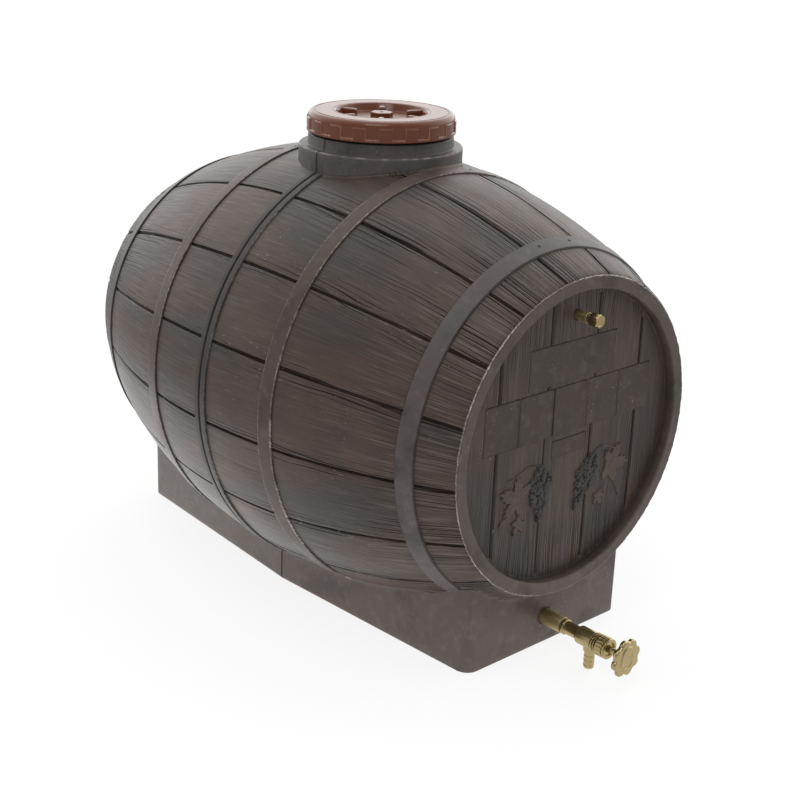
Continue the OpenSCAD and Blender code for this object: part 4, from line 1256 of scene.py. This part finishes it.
class BARREL_OT_tap(bpy.types.Operator):
    """Turns and casts the screw-down tap: insert, body with hose tail, bonnet, gland nut, stem, handwheel"""
    bl_idname = "barrel.tap"
    bl_label = "Tap"

    def execute(self, context):
        sizes, colours = context.scene.barrel_sizes, context.scene.barrel_colours
        lathe_brass = brass("brass_turned", colours, True)
        cast_brass = brass("brass_cast", colours, False)
        start = (-sizes.base_half, TAP_Z)
        insert = turned("tap_insert_sleeve", [
            (8.4, -9), (16.25, -9, 0.6), (16.25, -6, 0.6), (11.75, -6), (11.75, 36, 0.9), (8.4, 36, 0.6)],
            start)
        rough_brass = brass("brass_rough_turned_insert", colours, True, SLEEVE_ROUGH)
        finish_piece(insert, [rough_brass], "barrel", ["tap_insert"])

        body = turned("tap_body_casting", [
            (0, 14), (8.3, 14, 0.5), (8.3, 38.5), (11.3, 38.5, 0.5), (11.3, 42, 0.7), (9.4, 42.2, 0.2),
            (9.4, 64, 0.8), (10.9, 64, 0.3), (12.9, 67, 0.8), (12.9, 92.2, 0.3), (11.7, 92.4), (11.7, 93.8),
            (14.2, 94.0, 0.4), (14.2, 96.5, 0.4), (13.2, 97), (0, 97)], start, loop=False)
        # The hose tail hangs under the body, with three grooves between its barbs
        tail_y, tail_top = start[0] - 85 * MM, TAP_Z / MM - 2
        tail = [(0, tail_top), (9.6, tail_top), (9.4, 29), (9.2, 26.5, 0.6), (7.5, 26.5, 0.4)]
        for z in (20.5, 13.5, 6.5):
            tail += [(7.5, z + 0.7, 0.1), (7.0, z + 0.4, 0.1), (7.0, z - 0.3, 0.1), (7.5, z - 0.6, 0.1)]
        tail += [(7.5, 3.5), (6.9, 1.5, 0.4), (0, 1.5)]
        combine(body, "UNION", [("spout", shifted(*lathe(profile_mm(tail, 3), turns(72)), tail_y))])
        boolean(body, turned("water_way", [(0, 13), (5.5, 13), (5.5, 78), (10, 78), (10, 98), (0, 98)], start,
                             loop=False), "DIFFERENCE")
        bore = shifted(*upright(4.5 * MM, -2 * MM, TAP_Z, 48), tail_y)
        combine(body, "DIFFERENCE", [("spout_bore", bore)])
        finish_piece(body, [cast_brass], "barrel", ["tap_body"])

        bonnet = turned("bonnet_turned", [
            (5.65, 91), (9.95, 91, 0.4), (9.95, 98.5), (13.2, 98.5), (14.2, 98.9, 0.3), (14.2, 100.3, 0.3),
            (12.6, 100.8), (11, 101), (11, 111.5, 0.5), (8.5, 111.5), (8.5, 104), (5.65, 104)], start)
        finish_piece(bonnet, [lathe_brass], "barrel", ["bonnet"])

        nut = turned("gland_nut_ribbed", [
            (11.05, 101.5), (13.4, 101.5), (14.6, 102.4, 0.4), (14.7, 103.6), (14.7, 104.1),
            (14.7, 114.0, 0.3), (13.2, 114.3), (13.2, 115.2), (14.5, 115.5, 0.4), (14.5, 118.5, 0.8),
            (10.2, 118.5, 0.5), (10.2, 116), (5.2, 116, 0.3), (5.2, 113), (11.05, 113)],
            start, 192, serrated(16, 0.9, 103.8, 114.2, 13.8))
        finish_piece(nut, [lathe_brass], "barrel", ["gland_nut"])

        stem = turned("stem_turned", [
            (0, 92.5), (3.05, 92.5), (3.05, 84), (5.6, 84, 0.4), (5.6, 97.2, 0.4), (4.6, 97.4),
            (4.6, 146.5, 0.3), (0, 146.5)], start, loop=False)
        finish_piece(stem, [lathe_brass], "spindle", ["stem"])

        wheel = turned("handwheel_cast", [
            (0, 146.5), (4.62, 146.5), (4.62, 131.5), (7.8, 131.5, 0.9), (7.8, 138.5, 1.5),
            (11.5, 141.9, 1.5), (23.0, 142.0), (27, 141.5, 2.6), (27, 149.4, 2.8), (19.0, 149.5),
            (17.2, 149.4, 0.4), (16, 150.9, 0.6), (12.6, 150.9, 0.3), (12.0, 150.3, 0.3), (4.5, 150.3),
            (0, 150.3)], start, 192, lobed, loop=False)
        finish_piece(wheel, [cast_brass], "spindle", ["handwheel"])
        return {"FINISHED"}


class BARREL_OT_vent(bpy.types.Operator):
    """Turns the vent's sleeve and its hexagon plug"""
    bl_idname = "barrel.vent"
    bl_label = "Vent"

    def execute(self, context):
        sizes, colours = context.scene.barrel_sizes, context.scene.barrel_colours
        start = (-SHELL_HALF + sizes.head_depth, VENT_Z)
        sleeve = turned("vent_insert_sleeve", [
            (4.85, -9), (9.2, -9, 0.5), (9.2, -6, 0.5), (6.2, -6), (6.2, 0), (7.6, 20, 0.7), (4.85, 20, 0.4)],
            start)
        rough_brass = brass("brass_rough_turned_vent", colours, True, SLEEVE_ROUGH)
        finish_piece(sleeve, [rough_brass], "barrel", ["vent_insert"])
        plug = turned("vent_plug_hexagon", [
            (0, 2), (4.8, 2, 0.6), (4.8, 21.5), (7.6, 21.5, 0.4), (7.6, 23.5, 0.4), (6.6, 23.6), (6.6, 25),
            (8.4, 25.01), (9.9, 25.9), (9.9, 37.6), (8.2, 39), (6.2, 39), (5.6, 38.6), (0, 38.6)],
            start, 144, hexagonal(17.0, 25.005), loop=False)
        slot = rounded_box("slot", (-1 * MM, start[0] - 18 * MM, VENT_Z + 2.4 * MM),
                           (1 * MM, start[0] - 1 * MM, VENT_Z + 8 * MM), 0.1 * MM, segments=1)
        boolean(plug, slot, "DIFFERENCE")
        milled_brass = brass("brass_milled_vent", colours, False)
        finish_piece(plug, [milled_brass], "vent", ["vent_plug"], 30.0)
        return {"FINISHED"}


class BARREL_OT_seals(bpy.types.Operator):
    """Gives the washers, seals and valve pieces of the frame their materials"""
    bl_idname = "barrel.seals"
    bl_label = "Seals"

    def execute(self, context):
        colours = context.scene.barrel_colours
        rubber = matte("rubber_moulded", colours.rubber, colours, 0.7, 1.1111)
        fibre = matte("fibre_pressed", colours.fibre, colours, 0.8, 0.71429)
        metal = brass("brass_turned_valve", colours, True)
        for material, nodes in ((rubber, ("lid_seal", "gland_packing", "jumper_washer")),
                                (fibre, ("inlet_washer", "bonnet_washer", "vent_washer")),
                                (metal, ("gland_follower", "jumper", "jumper_nut"))):
            for node in nodes:
                obj = bpy.data.objects[node]
                obj.data.materials.clear()
                obj.data.materials.append(material)
        return {"FINISHED"}


# Stage

WHITE = (*srgb("#ffffff"), 1.0)
FLOOR_REACH = 20.0
# Middles of the floor's bright pools: behind the barrel for its sheen, before it for the base
REAR_POOL, FRONT_POOL = (-0.2, 0.55, 0.0), (0.15, -0.35, 0.0)
# Way from the camera past the barrel, where the studio is brightest
BRIGHT_SIDE = (0.664, 0.748, 0.1)
# Name, place, size and watts of each lamp, and the place that they all face
LAMPS = (("key", (-1.6, -1.2, 3.0), 1.6, 25.0), ("fill", (2.4, -2.6, 1.6), 2.4, 3.0))
LAMP_AIM = Vector((0, 0, 0.3))
# The photo's camera: azimuth, elevation and roll in degrees, distance from its aim, lens and shift
CAMERA_ANGLES = (-41.625, 18.804, 1.854)
CAMERA_AIM, CAMERA_DISTANCE = Vector((0.0, 0.0, 0.320)), 2.2241
CAMERA_LENS, CAMERA_SENSOR, CAMERA_SHIFT = 65.80, 36.0, (0.0327, -0.0532)


def floor_paper():
    """White paper on the floor: white to the camera, and brighter in two pools to what it lights."""
    material, add, place = new_material("floor_white_paper")
    path = add("LightPath").outputs
    rear, front = (add("VectorMath", (place, middle), operation="DISTANCE").outputs["Value"]
                   for middle in (REAR_POOL, FRONT_POOL))
    glint = add("Math", (add("MapRange", (rear, 0.2, 0.95, 2.2, 0.5), **SMOOTH),
                         add("MapRange", (front, 0.1, 0.55, 0.5, 0.0), **SMOOTH)), operation="ADD")
    soft = add("MapRange", (front, 0.3, 1.3, 2.1, 0.75), **SMOOTH)
    bounce = add("MapRange", (path["Is Glossy Ray"], 0.0, 1.0, soft, glint), **SMOOTH)
    seen = add("MapRange", (path["Is Camera Ray"], 0.0, 1.0, bounce, 1.0), **SMOOTH)
    diffuse = add("BsdfDiffuse", {"Color": WHITE})
    glow = add("Emission", {"Color": WHITE, "Strength": seen})
    add("OutputMaterial", [add("MixShader", (0.85, diffuse, glow))])
    return material


def studio_world():
    """A studio that is white to the camera and lights the barrel mostly from behind."""
    world = bpy.data.worlds.new("studio")
    world.use_nodes = True
    world.node_tree.nodes.clear()
    add = partial(add_node, world.node_tree)
    camera = add("LightPath").outputs["Is Camera Ray"]
    way = add("TexCoord").outputs["Generated"]
    behind = add("VectorMath", (way, BRIGHT_SIDE), operation="DOT_PRODUCT").outputs["Value"]
    level = add("MapRange", (behind, -0.7, 0.9, 0.38, 1.95), **SMOOTH)
    light = add("Mix", {0: camera, 6: level, 7: WHITE}, data_type="RGBA").outputs[2]
    add("OutputWorld", [add("Background", {"Color": light, "Strength": 1.0})])
    return world


def place_camera(scene):
    """The photo's camera, found from the rims, hoops and base in the picture."""
    a, e, roll = (math.radians(angle) for angle in CAMERA_ANGLES)
    back = Vector((math.sin(a) * math.cos(e), -math.cos(a) * math.cos(e), math.sin(e)))
    flat = Vector((math.cos(a), math.sin(a), 0.0))
    over = back.cross(flat)
    right = math.cos(roll) * flat + math.sin(roll) * over
    up = -math.sin(roll) * flat + math.cos(roll) * over
    data = bpy.data.cameras.new("camera")
    data.lens, data.sensor_width = CAMERA_LENS, CAMERA_SENSOR
    data.shift_x, data.shift_y = CAMERA_SHIFT
    data.clip_start, data.clip_end = 0.05, 100.0
    camera = link("camera", data)
    spot = CAMERA_AIM + back * CAMERA_DISTANCE
    camera.matrix_world = Matrix([[right[i], up[i], back[i], spot[i]] for i in range(3)] + [[0, 0, 0, 1]])
    scene.camera = camera


class BARREL_OT_stage(bpy.types.Operator):
    """Lays a pale floor, sets soft studio light and places the camera"""
    bl_idname = "barrel.stage"
    bl_label = "Stage"

    def execute(self, context):
        scene = context.scene
        corners = [(x * FLOOR_REACH, y * FLOOR_REACH, 0) for x, y in ((-1, -1), (1, -1), (1, 1), (-1, 1))]
        floor = mesh_object("floor", corners, [(0, 1, 2, 3)])
        floor.data.materials.append(floor_paper())
        scene.world = studio_world()
        for name, at, size, watts in LAMPS:
            lamp = bpy.data.lights.new(name, "AREA")
            lamp.energy = watts
            lamp.size = size
            obj = link(name, lamp)
            obj.location = at
            obj.rotation_mode = "QUATERNION"
            obj.rotation_quaternion = (LAMP_AIM - Vector(at)).to_track_quat("-Z", "Y")
        scene.view_settings.view_transform = "Standard"
        place_camera(scene)
        return {"FINISHED"}


class BARREL_PT_panel(bpy.types.Panel):
    """A button for each piece and for the stage"""
    bl_idname = "BARREL_PT_panel"
    bl_label = "Barrel"
    bl_space_type = "VIEW_3D"
    bl_region_type = "UI"
    bl_category = "Barrel"

    def draw(self, context):
        for operator in OPERATORS:
            self.layout.operator(operator.bl_idname)


OPERATORS = (BARREL_OT_shell, BARREL_OT_lid, BARREL_OT_tap, BARREL_OT_vent, BARREL_OT_seals,
             BARREL_OT_stage)
CLASSES = (BarrelSizes, BarrelColours, *OPERATORS, BARREL_PT_panel)


def register():
    for item in CLASSES:
        bpy.utils.register_class(item)
    bpy.types.Scene.barrel_sizes = PointerProperty(type=BarrelSizes)
    bpy.types.Scene.barrel_colours = PointerProperty(type=BarrelColours)


def unregister():
    del bpy.types.Scene.barrel_sizes
    del bpy.types.Scene.barrel_colours
    for item in reversed(CLASSES):
        bpy.utils.unregister_class(item)


def main():
    register()
    bpy.ops.barrel.shell()
    bpy.ops.barrel.lid()
    bpy.ops.barrel.tap()
    bpy.ops.barrel.vent()
    bpy.ops.barrel.seals()
    bpy.ops.barrel.stage()


if __name__ == "__main__":
    main()
